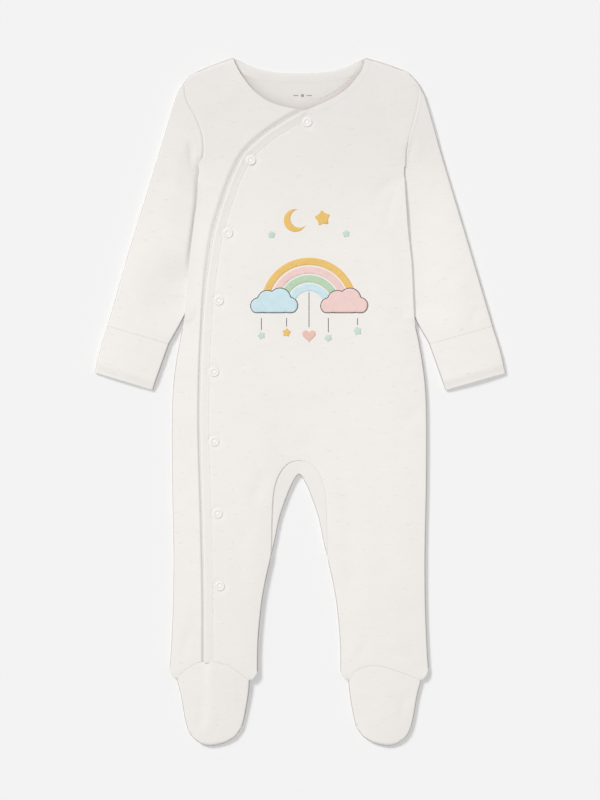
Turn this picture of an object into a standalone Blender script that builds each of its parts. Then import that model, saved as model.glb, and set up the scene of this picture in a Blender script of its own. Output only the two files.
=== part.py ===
"""Footed baby sleepsuit with a wrapped side opening, laid flat on its back.

The suit lies on the plane z = 0 with its neck towards +Y and its front up. Each piece of cloth is a
thin wall between two height surfaces over the outline of its cut, so the walls lie on each other in
the order in which the real ones do: sleeves, back, under front, main front. Sizes are millimetres.
"""

import math

import bmesh
import bpy

MM = 0.001

# Driving sizes
WALL = 1.2  # interlock cotton, one layer
CUFF_WALL = 1.7  # the turned-back cuff is two layers, pressed
SEAM = 0.3  # clear space between pieces that are sewn together
CURVED_SEAM = 0.5  # the same along a curved seam, where both edges are made of short chords
ARMHOLE_SEAM = 0.8  # the same along the armhole
FULLNESS = 3.0  # how far the front stands off the back once clear of the edges
EDGE_ROLL = 22.0  # width over which the cloth rises from a seamed edge to its fullness
LAP_CLEAR = 0.55  # the main front above the under front
UNDERLAP = 28.0  # how far the under front runs on beneath the wrapped edge
LAP_MARGIN = 2.5  # how far the main front stays up beyond the underlap, then the width in which it comes down
LAP_FADE = 11.0
SQUARE_BELOW, SQUARE_ABOVE = 0.97, 0.78  # share of a level step that is square to the underlap's edge
SLANT_FROM, SLANT_RUN = 150.0, 40.0  # where that edge begins to slant, and the height it takes
TUCK_CLEAR = 0.45  # the body above the sleeve that is tucked beneath its side
TUCK_MARGIN = 3.0  # how far within the sleeve's edge the body is up, and the width in which it rises
TUCK_FADE = 13.0
BINDING_WIDE = 6.0
BINDING_START = 0.8  # the binding's width where it begins at the neck, and the length in which it widens
BINDING_TAPER = 17.0
BINDING_THICK = 2.1
FACING_WIDE = 7.5  # tape inside the back neck
FACING_THICK = 1.0
SNAP_RADIUS = 4.3
# Each snap's centre: how far down the wrapped edge it lies from the neck, and how far in from that edge
SNAP_PLACES = [
    (9.6, 10.2), (74.0, 8.0), (144.1, 11.9), (204.9, 12.6),
    (269.4, 12.0), (329.8, 12.6), (393.7, 13.5), (456.7, 14.1),
]
SNAP_PROFILE = [
    (0.0, 0.5), (2.2, 0.5), (2.7, 1.1), (3.6, 1.3), (SNAP_RADIUS, 0.7), (SNAP_RADIUS - 0.2, 0.0), (0.0, 0.0),
]

NECK_HALF = 58.2
SHOULDER_TOP = 301.0  # highest point, where neck and shoulder meet
BACK_NECK = 287.4
CROTCH = -63.8
TOE = -301.0
ARMPIT = 205.0

# Edges of the cut pieces, as points that a smooth curve runs through, from the neck down.
# The body is even about x = 0, and these are the +X halves unless a side is named.
SHOULDER = [(NECK_HALF, SHOULDER_TOP), (71.0, 296.2), (84.5, 290.6), (94.5, 286.0), (101.2, 279.0)]
ARMHOLE = {
    -1: [(101.2, 279.0), (98.6, 264.0), (91.2, 250.0), (85.2, 234.0), (84.3, 217.0), (92.5, ARMPIT)],
    1: [(101.2, 279.0), (100.6, 264.0), (98.6, 250.0), (96.4, 234.0), (95.0, 217.0), (92.5, ARMPIT)],
}
BODY_SIDE = [
    (92.5, ARMPIT), (92.4, 190.0), (95.0, 152.0), (98.4, 120.0), (100.3, 75.0), (104.2, 55.0),
    (108.0, 32.0), (110.3, 10.0), (111.2, -20.0), (110.9, -70.0), (109.8, -130.0), (110.2, -175.0),
    (111.4, -205.0), (112.4, -222.0), (113.2, -232.5),
]
INNER_LEG = [
    (0.0, CROTCH), (1.6, CROTCH - 0.7), (4.3, -68.6), (8.6, -77.6), (13.6, -91.0), (17.6, -104.0),
    (21.9, -125.0), (25.6, -140.0), (29.0, -155.0), (32.0, -171.0), (34.4, -191.0), (36.0, -212.0),
    (36.3, -235.5),
]
GUSSET_SEAM = [
    (0.0, -51.0), (8.5, -53.0), (15.4, -59.5), (20.2, -69.0), (22.8, -80.0), (23.6, -91.0),
    (24.1, -104.0), (25.4, -127.0),
]
GUSSET_END = -127.0
LEG_SEAM_TOP = GUSSET_END - 2.4  # where the legs' edges begin again, below the gusset
MAIN_NECK_CURVE = [
    (NECK_HALF, SHOULDER_TOP), (54.9, 290.0), (49.2, 281.6), (42.2, 273.8), (33.2, 267.4),
    (23.0, 262.0), (12.9, 257.9),
]
UNDER_NECK_CURVE = [
    (-NECK_HALF, SHOULDER_TOP), (-53.1, 290.0), (-47.9, 282.0), (-40.8, 273.1), (-33.5, 266.9),
    (-25.2, 261.9), (-15.1, 258.6), (-5.6, 256.4), (3.0, 255.2), (14.0, 255.0),
]
BACK_NECK_CURVE = [
    (0.0, BACK_NECK), (16.0, 287.8), (29.0, 289.6), (41.0, 293.0), (50.0, 297.0),
    (NECK_HALF, SHOULDER_TOP),
]
WRAP_EDGE = [
    (11.6, 257.3), (7.6, 255.6), (-0.5, 252.2), (-13.4, 244.9), (-29.8, 233.8), (-47.4, 217.4),
    (-58.5, 196.6), (-67.5, 171.5), (-74.7, 146.0), (-79.7, 115.6), (-83.3, 82.0), (-86.1, 30.0),
    (-86.7, -28.0), (-84.8, -95.0), (-83.3, -165.0), (-83.2, -228.0),
]
SLEEVE_OUTER = [
    (101.2, 279.0), (107.0, 268.0), (111.6, 254.0), (116.4, 238.5), (121.3, 222.0), (130.0, 193.0),
    (148.1, 132.8), (167.6, 66.5),
]
SLEEVE_INNER = [
    (93.4, ARMPIT - 0.6), (94.2, 197.5), (91.0, 186.0), (87.2, 166.0), (86.6, 136.0), (89.4, 106.0),
    (95.2, 86.0), (101.2, 73.5), (107.4, 61.8), (113.8, 50.6),
]
CUFF_OUTER = [(167.9, 66.2), (174.4, 45.0), (179.0, 25.8)]
CUFF_INNER = [(113.8, 50.0), (120.6, 31.5), (128.0, 10.4)]
# The leg's front hem, a lobe at each side of the arch that the foot is sewn to.
HEM = {
    -1: [
        (36.3, -235.5), (38.2, -239.6), (43.2, -243.6), (52.0, -236.8), (61.0, -231.2), (70.0, -228.0),
        (79.0, -226.8), (88.0, -227.8), (97.0, -232.6), (103.0, -237.4), (106.9, -242.4),
        (111.4, -238.4), (113.2, -232.5),
    ],
    1: [
        (36.3, -235.5), (38.2, -239.6), (43.2, -243.6), (48.5, -236.2), (55.5, -232.2), (63.0, -230.6),
        (73.0, -231.4), (83.0, -234.4), (92.0, -237.6), (100.0, -240.6), (106.9, -243.6),
        (111.4, -238.8), (113.2, -232.5),
    ],
}
FOOT_CORNERS = (43.2, 106.9)  # where the foot leaves the hem, inner and outer
HEEL_SEAM = -242.8  # between the back and the sole
FOOT_OUTER = [(106.9, -243.4), (103.2, -258.0), (100.3, -275.0), (97.0, -287.6), (92.2, -294.6)]
FOOT_INNER = [(43.2, -243.9), (44.3, -256.0), (46.8, -271.0), (50.2, -284.6), (56.4, -293.4)]
TOE_CURVE = [(56.4, -293.4), (65.4, -298.6), (76.0, TOE), (84.8, -299.6), (92.2, -294.6)]

# The largest soft creases: from, to, half width and depth. The cloth dips along each.
CREASES = [
    ((-92.5, -262.0), (-91.5, -292.0), 4.5, 0.7),
    ((-57.0, -266.0), (-50.5, -267.0), 3.0, 0.5),
    ((-112.0, 232.0), (-100.0, 205.0), 5.0, 0.6),
    ((113.0, 232.0), (101.0, 205.0), 5.0, 0.6),
    ((-30.0, -58.0), (-42.0, -98.0), 6.0, 0.6),
    ((30.0, -58.0), (42.0, -96.0), 6.0, 0.5),
    ((136.0, 118.0), (112.0, 96.0), 6.0, 0.5),
    ((-138.0, 126.0), (-114.0, 100.0), 6.0, 0.5),
]

# How finely each stretch is divided
WRAP_STEPS = 72
ARMHOLE_ROWS = 14
MAIN_NECK_ROWS = 6
UNDER_NECK_ROWS = 8
SEAM_ROWS = 8
LEG_ROWS = 9
SLEEVE_ROWS = 15
FOOT_ROWS = 8
CUFF_ROWS = 3
SIDE_HEIGHTS = [
    198.5, 192.0, 182.0, 168.0, 152.0, 136.0, 120.0, 104.0, 90.0, 79.0, 71.0, 63.0, 52.0, 38.0, 22.0,
    4.0, -14.0, -32.0, -50.7,
]
BACK_SHARES = [0.0, 0.14, 0.44, 0.761]
MAIN_RIGHT_SHARES = [0.0, 0.113, 0.31, 0.53, 0.77]
FOOT_SHARES = [0.0, 0.05, 0.12, 0.24, 0.38, 0.52, 0.66, 0.8, 0.91, 1.0]
SLEEVE_COLUMNS = 7
SLEEVE_BENT_ROWS = 4  # rows over which the sleeve's top follows the armhole
UNDER_SLANT = 8.0  # how much lower than its outer end a row of the under front begins at the armpit
HEM_ROWS = 4  # rows over which the fronts follow the hem
FACING_STEPS = 9
SNAP_SIDES = 14
FINE_STEPS = 12


def smooth(share):
    share = min(max(share, 0.0), 1.0)
    return share * share * (3 - 2 * share)


def mix(a, b, share):
    return (a[0] + (b[0] - a[0]) * share, a[1] + (b[1] - a[1]) * share)


def mirrored(points, side):
    return [(side * x, y) for x, y in points]


def fine_curve(points):
    """Close points on a smooth curve through the given ones."""
    ends = [mix(points[1], points[0], 2.0), *points, mix(points[-2], points[-1], 2.0)]
    found = []
    for before, start, stop, after in zip(ends, ends[1:], ends[2:], ends[3:]):
        for step in range(FINE_STEPS):
            t = step / FINE_STEPS
            weights = (
                (-t + 2 * t * t - t**3) / 2,
                (2 - 5 * t * t + 3 * t**3) / 2,
                (t + 4 * t * t - 3 * t**3) / 2,
                (t**3 - t * t) / 2,
            )
            four = (before, start, stop, after)
            found.append(tuple(sum(w * p[axis] for w, p in zip(weights, four)) for axis in (0, 1)))
    return [*found, points[-1]]


def evenly(points, count):
    """count + 1 points at even steps along the smooth curve through the given ones."""
    line = fine_curve(points)
    run = [0.0]
    for a, b in zip(line, line[1:]):
        run.append(run[-1] + math.dist(a, b))
    found, at = [], 0
    for step in range(count + 1):
        want = run[-1] * step / count
        while at < len(run) - 2 and run[at + 1] < want:
            at += 1
        found.append(mix(line[at], line[at + 1], (want - run[at]) / max(run[at + 1] - run[at], 1e-9)))
    return found


def across(points, value, axis=1):
    """The other coordinate of a curve where it reaches this value; axis 1 reads x at a height y."""
    line = fine_curve(points)
    for a, b in zip(line, line[1:]):
        if min(a[axis], b[axis]) - 1e-9 <= value <= max(a[axis], b[axis]) + 1e-9 and a[axis] != b[axis]:
            return mix(a, b, (value - a[axis]) / (b[axis] - a[axis]))[1 - axis]
    ends = sorted(line[:: len(line) - 1], key=lambda p: abs(p[axis] - value))
    return ends[0][1 - axis]


def moved_in(points, distances):
    """A curve moved sideways, to the left of its own direction, by one distance a point."""
    found = []
    for number, ((x, y), distance) in enumerate(zip(points, distances)):
        a, b = points[max(number - 1, 0)], points[min(number + 1, len(points) - 1)]
        run = math.dist(a, b)
        found.append((x - (b[1] - a[1]) / run * distance, y + (b[0] - a[0]) / run * distance))
    return found


def distance_to(line, x, y):
    nearest = 1e9
    for (ax, ay), (bx, by) in line:
        dx, dy = bx - ax, by - ay
        share = min(max(((x - ax) * dx + (y - ay) * dy) / (dx * dx + dy * dy), 0.0), 1.0)
        nearest = min(nearest, math.hypot(x - ax - dx * share, y - ay - dy * share))
    return nearest


def segments(points, count):
    line = evenly(points, count)
    return list(zip(line, line[1:]))


# The seamed edges that the cloth rises from
EDGES_OF_BODY, EDGES_OF_SLEEVE = [], []
for flip in (-1, 1):
    shared = segments(mirrored(SHOULDER, flip), 5) + segments(mirrored(SLEEVE_OUTER, flip), 12)
    EDGES_OF_BODY += shared + segments(mirrored(BODY_SIDE, flip), 30)
    EDGES_OF_BODY += segments(mirrored(INNER_LEG, flip), 24) + segments(mirrored(FOOT_OUTER, flip), 6)
    EDGES_OF_BODY += segments(mirrored(FOOT_INNER, flip), 6) + segments(mirrored(TOE_CURVE, flip), 6)
    EDGES_OF_SLEEVE += shared + segments(mirrored(SLEEVE_INNER, flip), 16)
    EDGES_OF_SLEEVE += segments(mirrored(CUFF_INNER, flip), 2) + segments(mirrored(CUFF_OUTER, flip), 2)


# Height surfaces

def creased(x, y):
    dip = 0.0
    for start, stop, half_wide, depth in CREASES:
        near = distance_to([(start, stop)], x, y)
        dip += depth * math.exp(-((near / half_wide) ** 2))
    return dip


def rise(edges, x, y):
    share = min(distance_to(edges, x, y) / EDGE_ROLL, 1.0)
    full = FULLNESS * (1 - (1 - share) ** 2)
    return max(full - creased(x, y) * share, 0.0)


def tucked_edge(y):
    """Distance from the middle to the sleeve's inner edge, where that lies beneath the body."""
    return min(across(SLEEVE_INNER, y), across(BODY_SIDE, y)) if y < ARMPIT else BODY_SIDE[0][0]


def sleeve_lift(x, y):
    """How far the body's side is carried up by the sleeve that is tucked beneath it."""
    along = smooth((ARMPIT - y) / 9.0) * smooth((y - 58.0) / 16.0)
    across_edge = smooth((abs(x) - tucked_edge(y) + TUCK_MARGIN + TUCK_FADE) / TUCK_FADE)
    return (2 * WALL + SEAM + TUCK_CLEAR) * along * across_edge


def back_low(x, y):
    return sleeve_lift(x, y) if 55.0 < y < ARMPIT else 0.0


def front_low(x, y):
    """Under side of whatever part of the front lies straight on the back."""
    return back_low(x, y) + WALL + SEAM + rise(EDGES_OF_BODY, x, y)


WRAP_LINE = evenly(WRAP_EDGE, WRAP_STEPS)
WRAP_STEP = math.dist(WRAP_LINE[-2], WRAP_LINE[-1])


def binding_inner(beyond=0.0):
    """The binding's inner edge, narrowing to the neck, or a line beyond it."""
    grown = [smooth(n * WRAP_STEP / BINDING_TAPER) for n in range(len(WRAP_LINE))]
    widths = [BINDING_START + (BINDING_WIDE - BINDING_START) * share for share in grown]
    return moved_in(WRAP_LINE, [width + beyond for width in widths])


UNDERLAP_EDGE = [UNDER_NECK_CURVE[-1], (12.5, 241.0), (7.0, 229.0)] + [
    p for p in moved_in(WRAP_LINE, [UNDERLAP] * len(WRAP_LINE))[::6] if p[1] < 222.0
]


def past_underlap(x, y):
    """How far a point of the main front is beyond the under front's edge."""
    if y > UNDERLAP_EDGE[0][1]:
        return math.dist((x, y), UNDERLAP_EDGE[0]) if x > UNDERLAP_EDGE[0][0] else 0.0
    steep = smooth((y - SLANT_FROM) / SLANT_RUN)
    return (x - across(UNDERLAP_EDGE, y)) * (SQUARE_BELOW + (SQUARE_ABOVE - SQUARE_BELOW) * steep)


def main_low(x, y):
    """Under side of the main front, which steps down beyond the underlap's edge."""
    step = (WALL + LAP_CLEAR) * (1 - smooth((past_underlap(x, y) - LAP_MARGIN) / LAP_FADE))
    return front_low(x, y) + step


def sleeve_high(x, y):
    """Upper side of a sleeve. It stays thin where the body lies on it."""
    full = rise(EDGES_OF_SLEEVE, x, y)
    beyond = (abs(x) - across(BODY_SIDE, y) - 3.0) / 9.0 if y < ARMPIT else 1.0
    free = max(smooth(beyond), smooth((y - ARMPIT + 6.0) / 12.0), smooth((66.0 - y) / 8.0))
    return 2 * WALL + SEAM + full * free


# Building

def new_object(name, mesh, material):
    part = bpy.data.objects.new(name, mesh)
    mesh.materials.append(material)
    suit.objects.link(part)
    return part


def finished_mesh(name, shape):
    """The edited shape as a mesh with its faces turned outwards, smooth between its sharp edges."""
    bmesh.ops.recalc_face_normals(shape, faces=shape.faces)
    mesh = bpy.data.meshes.new(name)
    shape.to_mesh(mesh)
    shape.free()
    mesh.shade_smooth()
    mesh.set_sharp_from_angle(angle=math.radians(40))
    return mesh


def straight_rows(left, right, shares):
    return [[mix(a, b, share) for share in shares] for a, b in zip(left, right)]


def cloth_wall(name, patches, low, thick, material):
    """A wall of cloth over one or more patches of plan points, joined where patches share points."""
    shape = bmesh.new()
    corners = {}

    def corner(point):
        key = (round(point[0], 4), round(point[1], 4))
        if key not in corners:
            corners[key] = shape.verts.new((point[0] * MM, point[1] * MM, low(*point) * MM))
        return corners[key]

    for rows in patches:
        for upper, lower in zip(rows, rows[1:]):
            for column in range(len(upper) - 1):
                ring = [*upper[column : column + 2], *lower[column : column + 2][::-1]]
                ring = dict.fromkeys(corner(point) for point in ring)
                # Where columns meet in a point there are triangles, or nothing.
                if len(ring) > 2:
                    shape.faces.new(ring)
    raised = bmesh.ops.extrude_face_region(shape, geom=shape.faces[:])["geom"]
    roof = [found for found in raised if isinstance(found, bmesh.types.BMVert)]
    bmesh.ops.translate(shape, vec=(0.0, 0.0, thick * MM), verts=roof)
    return new_object(name, finished_mesh(name, shape), material)


def ring_loft(name, rings, material, around=False):
    """A solid through closed rings of equal count, with flat ends, or joined from last to first."""
    shape = bmesh.new()
    loops = [[shape.verts.new((x * MM, y * MM, z * MM)) for x, y, z in ring] for ring in rings]
    for one, other in zip(loops, loops[1:] + loops[:1] if around else loops[1:]):
        for place in range(len(one)):
            shape.faces.new((one[place - 1], one[place], other[place], other[place - 1]))
    if not around:
        shape.faces.new(loops[0])
        shape.faces.new(loops[-1])
    return new_object(name, finished_mesh(name, shape), material)


def tube_ring(row, high, inset, rim):
    """One ring round a flattened tube's row: along its underside, then back over its top."""
    run = math.dist(row[0], row[-1])
    plan = [mix(row[0], row[-1], (inset + rim) / run), *row[1:-1], mix(row[-1], row[0], (inset + rim) / run)]
    start, end = mix(row[0], row[-1], inset / run), mix(row[-1], row[0], inset / run)
    tops = [high(*p) - inset for p in plan]
    under = [(*p, inset) for p in plan] + [(*end, (inset + tops[-1]) / 2)]
    over = [(*p, top) for p, top in zip(plan[::-1], tops[::-1])] + [(*start, (inset + tops[0]) / 2)]
    return under + over


def flat_tube(name, rows, high, wall, material):
    """A flattened tube of cloth, open at both ends. Each row runs from the outer fold to the inner one."""
    outside = [tube_ring(row, high, 0.0, 0.7) for row in rows]
    inside = [tube_ring(row, high, wall, 0.2) for row in rows]
    return ring_loft(name, outside + inside[::-1], material, around=True)


def dyed(name, colour, roughness, metallic=0.0):
    material = bpy.data.materials.new(name)
    material.use_nodes = True
    shader = material.node_tree.nodes["Principled BSDF"]
    shader.inputs["Base Color"].default_value = (*colour, 1.0)
    shader.inputs["Roughness"].default_value = roughness
    shader.inputs["Metallic"].default_value = metallic
    return material


for old in list(bpy.data.objects):
    bpy.data.objects.remove(old, do_unlink=True)
suit = bpy.data.collections.new("baby_sleepsuit")
bpy.context.scene.collection.children.link(suit)
cream_cotton = dyed("cream_cotton", (0.86, 0.83, 0.79), 0.9)
binding_cotton = dyed("binding_cotton", (0.88, 0.85, 0.79), 0.85)
facing_cotton = dyed("facing_cotton", (0.80, 0.77, 0.74), 0.9)
snap_enamel = dyed("snap_enamel", (0.86, 0.86, 0.83), 0.35)


# Rails shared by the back and both fronts

def side_heights():
    """Heights of the rows below the armhole: down to the gusset, along its seam, then down the leg."""
    seam_end = GUSSET_END - 2 * SEAM
    heights = list(SIDE_HEIGHTS)
    for step in range(1, SEAM_ROWS + 1):
        heights.append(SIDE_HEIGHTS[-1] + (seam_end - SIDE_HEIGHTS[-1]) * step / SEAM_ROWS)
    return heights + leg_heights(BODY_SIDE[-1][1])


def leg_heights(ankle):
    return [LEG_SEAM_TOP + (ankle - LEG_SEAM_TOP) * step / LEG_ROWS for step in range(LEG_ROWS + 1)]


def side_rail(side):
    """Points down one side of the body: armhole, side seam and leg, one for each row."""
    arm = evenly(ARMHOLE[side], ARMHOLE_ROWS)
    return mirrored(arm + [(across(BODY_SIDE, y), y) for y in side_heights()], side)


def inner_rail(side):
    """Points down the inside of one leg, from the top of the gusset: along its seam, then the leg's edge."""
    seam = [(x + SEAM, y + SEAM) for x, y in evenly(GUSSET_SEAM, SEAM_ROWS)]
    seam[0] = (0.0, SIDE_HEIGHTS[-1])
    seam[-1] = (seam[-1][0], GUSSET_END - 2 * SEAM)
    return mirrored(seam + [(across(INNER_LEG, y), y) for y in leg_heights(INNER_LEG[-1][1])], side)


def crossing(a, b, value_at, wanted):
    """Share of the way from a to b at which a value that falls along it reaches the wanted one."""
    low, high = 0.0, 1.0
    for _ in range(30):
        middle = (low + high) / 2
        if value_at(*mix(a, b, middle)) > wanted:
            low = middle
        else:
            high = middle
    return low


def side_columns(start, outer):
    """Shares of a row at which the body's side begins to be carried up, is nearly up, is up, and ends."""
    edge = min(tucked_edge(outer[1]), abs(outer[0]))
    marks = [edge - TUCK_MARGIN - TUCK_FADE * share for share in (1.0, 0.25, 0.0)]
    return [(mark - abs(start[0])) / (abs(outer[0]) - abs(start[0])) for mark in marks] + [1.0]


def rows_to_side(starts, outers, shares):
    """Rows of points from the middle to the side, with the last columns along the tucked sleeve's edge."""
    rows = []
    for start, outer in zip(starts, outers):
        columns = side_columns(start, outer)
        every = [share * columns[0] for share in shares] + columns
        rows.append([mix(start, outer, share) for share in every])
    return rows


def hemmed(rows, side):
    """Bends the last rows so that the final one follows the leg's hem."""
    drops = [across(HEM[side], abs(p[0]), axis=0) - p[1] for p in rows[-1]]
    for upward in range(HEM_ROWS):
        share = (1 - upward / HEM_ROWS) ** 1.6
        row = rows[-1 - upward]
        rows[-1 - upward] = [(p[0], p[1] + drop * share) for p, drop in zip(row, drops)]
    return rows


def shouldered(rows):
    """Bends the first rows so that the first one follows the shoulder and the back of the neck."""
    rises = []
    for x, y in rows[0]:
        curve = BACK_NECK_CURVE if abs(x) < NECK_HALF else SHOULDER
        rises.append(across(curve, abs(x), axis=0) - y)
    for number in range(ARMHOLE_ROWS):
        share = (1 - number / ARMHOLE_ROWS) ** 1.5
        rows[number] = [(p[0], p[1] + up * share) for p, up in zip(rows[number], rises)]
    return rows


# Back: one piece, neck and shoulders to both ankles

def back_patch(side):
    centre = [(0.0, BACK_NECK + (ARMPIT - BACK_NECK) * k / ARMHOLE_ROWS) for k in range(ARMHOLE_ROWS)]
    centre += [(0.0, ARMPIT)] + [(0.0, y) for y in SIDE_HEIGHTS[:-1]]
    rows = shouldered(rows_to_side(centre + inner_rail(side), side_rail(side), BACK_SHARES))
    heel = []
    for x, _ in rows[-1]:
        over_sole = FOOT_CORNERS[0] < abs(x) < FOOT_CORNERS[1]
        heel.append((x, HEEL_SEAM if over_sole else max(HEEL_SEAM, across(HEM[side], abs(x), axis=0))))
    return rows[:-1] + [heel]


cloth_wall("back", [back_patch(-1), back_patch(1)], back_low, WALL, cream_cotton)


# Main front: from the right shoulder across the chest to the wrapped edge, with both inner legs

def main_front_patches():
    neck = evenly(MAIN_NECK_CURVE, MAIN_NECK_ROWS)
    corner = neck[-1]
    upper_rows = ARMHOLE_ROWS - MAIN_NECK_ROWS
    centre = []
    for step in range(1, upper_rows + 1):
        share = step / upper_rows
        centre.append((corner[0] * (1 - share), corner[1] + (ARMPIT - corner[1]) * share))
    centre += [(0.0, y) for y in SIDE_HEIGHTS[:-1]]
    right = shouldered(rows_to_side(neck + centre + inner_rail(1), side_rail(1), MAIN_RIGHT_SHARES))
    # Inside the binding there are even steps down to the armpit, then one at each row's height.
    bound = binding_inner(2 * CURVED_SEAM)
    upper = [corner] + evenly([p for p in bound if p[1] >= ARMPIT - 6.0], upper_rows)[1:]
    lower = [(across(bound, p[1]), p[1]) for p in side_rail(-1)[ARMHOLE_ROWS + 1 :]]
    left = []
    for start, end in zip([corner, *centre] + inner_rail(-1), upper + lower):
        reaches = (LAP_MARGIN + LAP_FADE, LAP_MARGIN + LAP_FADE / 2, LAP_MARGIN)
        marks = [crossing(start, end, past_underlap, reach) for reach in reaches]
        shares = [0.0, marks[0] / 2, *marks, (marks[2] + 1) / 2, 1.0]
        left.append([mix(start, end, share) for share in shares])
    left[0] = [corner] * len(left[0])
    return [hemmed(left, -1), hemmed(right, 1)]


main_patches = main_front_patches()
cloth_wall("front_main", main_patches, main_low, WALL, cream_cotton)


# Under front: the narrow front, from the left shoulder down the left side to the ankle

def under_front_patch():
    inner = evenly(UNDER_NECK_CURVE, UNDER_NECK_ROWS)
    top = [p for p in UNDERLAP_EDGE if p[1] > ARMPIT - UNDER_SLANT]
    inner += evenly(top, ARMHOLE_ROWS - UNDER_NECK_ROWS)[1:]
    # Below the armpit the rows slant down to the underlap's edge, less and less.
    for _, y in side_rail(-1)[ARMHOLE_ROWS + 1 :]:
        low = y - UNDER_SLANT * (1 - smooth((ARMPIT - y) / 60.0))
        inner.append((across(UNDERLAP_EDGE, low), low))
    rows = []
    for outer, end in zip(side_rail(-1), inner):
        reach, whole = abs(outer[0]), end[0] - outer[0]
        marks = [reach * (1 - share) / whole for share in side_columns((0.0, 0.0), outer)[::-1]]
        rows.append([mix(outer, end, share) for share in (*marks, (marks[-1] + 1) / 2, 1.0)])
    return hemmed(shouldered(rows), -1)


under_patch = under_front_patch()
cloth_wall("front_under", [under_patch], front_low, WALL, cream_cotton)


# Gusset: a crescent folded round the crotch, front seam to back seam

def gusset_ring(seam, edge):
    top = front_low(*seam) + WALL
    edge_top = front_low(*edge) + WALL
    near = mix(edge, seam, 0.9 / max(math.dist(edge, seam), 1.0))
    inside = mix(edge, seam, (WALL + 0.1) / max(math.dist(edge, seam), 1.0))
    return [
        (*seam, 0.0), (*near, 0.0), (*edge, edge_top / 2), (*near, edge_top), (*seam, top),
        (*seam, top - WALL), (*inside, edge_top - WALL), (*inside, WALL), (*seam, WALL),
    ]


def gusset():
    rings = []
    seams = evenly(GUSSET_SEAM, SEAM_ROWS)
    fold = [p for p in fine_curve(INNER_LEG) if p[1] >= GUSSET_END]
    edges = evenly(fold[::6] + fold[-1:], SEAM_ROWS)
    for number in range(-SEAM_ROWS, SEAM_ROWS + 1):
        side = -1 if number < 0 else 1
        rings.append(gusset_ring(*mirrored([seams[abs(number)], edges[abs(number)]], side)))
    ring_loft("gusset", rings, cream_cotton)


gusset()


# Sleeves: one piece each, folded at the outer edge, with the underarm seam tucked beneath the body

def sleeve_rows(side):
    outer = evenly(SLEEVE_OUTER, SLEEVE_ROWS)
    inner = evenly(SLEEVE_INNER, SLEEVE_ROWS)
    cap = evenly(ARMHOLE[side], SLEEVE_COLUMNS)
    rows = []
    for a, b in zip(outer, inner):
        covered = crossing(a, b, lambda x, y: x - across(BODY_SIDE, y), 1.0)
        covered = min(max(covered, 0.7), 1 - 1 / SLEEVE_COLUMNS)
        shares = [covered * step / (SLEEVE_COLUMNS - 1) for step in range(SLEEVE_COLUMNS)] + [1.0]
        rows.append([mix(a, b, share) for share in shares])
    off_line = [(c[0] - p[0], c[1] - p[1]) for c, p in zip(cap, rows[0])]
    found = []
    for number, row in enumerate(rows):
        fade = max(1 - number / SLEEVE_BENT_ROWS, 0.0) ** 2.5
        found.append([(p[0] + off[0] * fade, p[1] + off[1] * fade) for p, off in zip(row, off_line)])
    found[0] = [(x + ARMHOLE_SEAM, y) for x, y in found[0]]
    return [mirrored(row, side) for row in found]


for side, word in ((-1, "left"), (1, "right")):
    flat_tube(f"sleeve_{word}", sleeve_rows(side), sleeve_high, WALL, cream_cotton)


# Cuffs: turned back on themselves, so twice as thick as the sleeve

def cuff_high(x, y):
    return sleeve_high(x, y) + 2 * (CUFF_WALL - WALL)


for side, word in ((-1, "left"), (1, "right")):
    shares = [step / SLEEVE_COLUMNS for step in range(SLEEVE_COLUMNS + 1)]
    rows = straight_rows(evenly(CUFF_OUTER, CUFF_ROWS), evenly(CUFF_INNER, CUFF_ROWS), shares)
    flat_tube(f"cuff_{word}", [mirrored(row, side) for row in rows], cuff_high, CUFF_WALL, cream_cotton)


# Feet: an upper sewn into the hem's arch, and a sole beneath it

def foot_rows(side, top_edge):
    """Rows across a foot, bent to follow the top edge at one end and the toe's curve at the other."""
    rows = straight_rows(evenly(FOOT_INNER, FOOT_ROWS), evenly(FOOT_OUTER, FOOT_ROWS), FOOT_SHARES)
    ups = [top_edge(x) - y for x, y in rows[0]]
    toes = evenly(TOE_CURVE, len(FOOT_SHARES) - 1)
    outs = [(toe[0] - p[0], toe[1] - p[1]) for toe, p in zip(toes, rows[-1])]
    found = []
    for number, row in enumerate(rows):
        rise_share, toe_share = (1 - number / FOOT_ROWS) ** 1.6, (number / FOOT_ROWS) ** 2.2
        found.append([
            (x + out[0] * toe_share, y + up * rise_share + out[1] * toe_share)
            for (x, y), up, out in zip(row, ups, outs)
        ])
    return [mirrored(row, side) for row in found]


def below_hem(rows, x):
    """Just below the hem's chords, as the fronts above have them."""
    heights = []
    for row in rows:
        for a, b in zip(row, row[1:]):
            if min(a[0], b[0]) <= x <= max(a[0], b[0]):
                heights.append(mix(a, b, (x - a[0]) / (b[0] - a[0]))[1])
    return min(heights) - CURVED_SEAM


for side, word in ((-1, "left"), (1, "right")):
    hems = [main_patches[1][-1]] if side > 0 else [main_patches[0][-1], under_patch[-1]]
    upper_rows = foot_rows(side, lambda x, side=side, hems=hems: below_hem(hems, side * x))
    sole_rows = foot_rows(side, lambda x: HEEL_SEAM - 2 * SEAM)
    cloth_wall(f"foot_upper_{word}", [upper_rows], front_low, WALL, cream_cotton)
    cloth_wall(f"foot_sole_{word}", [sole_rows], back_low, WALL, cream_cotton)


# Binding of the wrapped edge, folded over it from the neck to the ankle

def wrap_binding():
    rings = []
    for outer, inner in zip(WRAP_LINE[1:], binding_inner()[1:]):
        low_out, low_in = main_low(*outer), main_low(*inner)
        crown, shoulder = mix(outer, inner, 0.45), mix(outer, inner, 0.14)
        under = [(*outer, low_out + 0.5), (*shoulder, low_out), (*inner, low_in)]
        over = [
            (*inner, low_in + WALL + 0.3), (*crown, main_low(*crown) + BINDING_THICK),
            (*shoulder, low_out + BINDING_THICK - 0.35), (*outer, low_out + 1.4),
        ]
        rings.append(under + over)
    ring_loft("wrap_binding", rings, binding_cotton)


wrap_binding()


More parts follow.
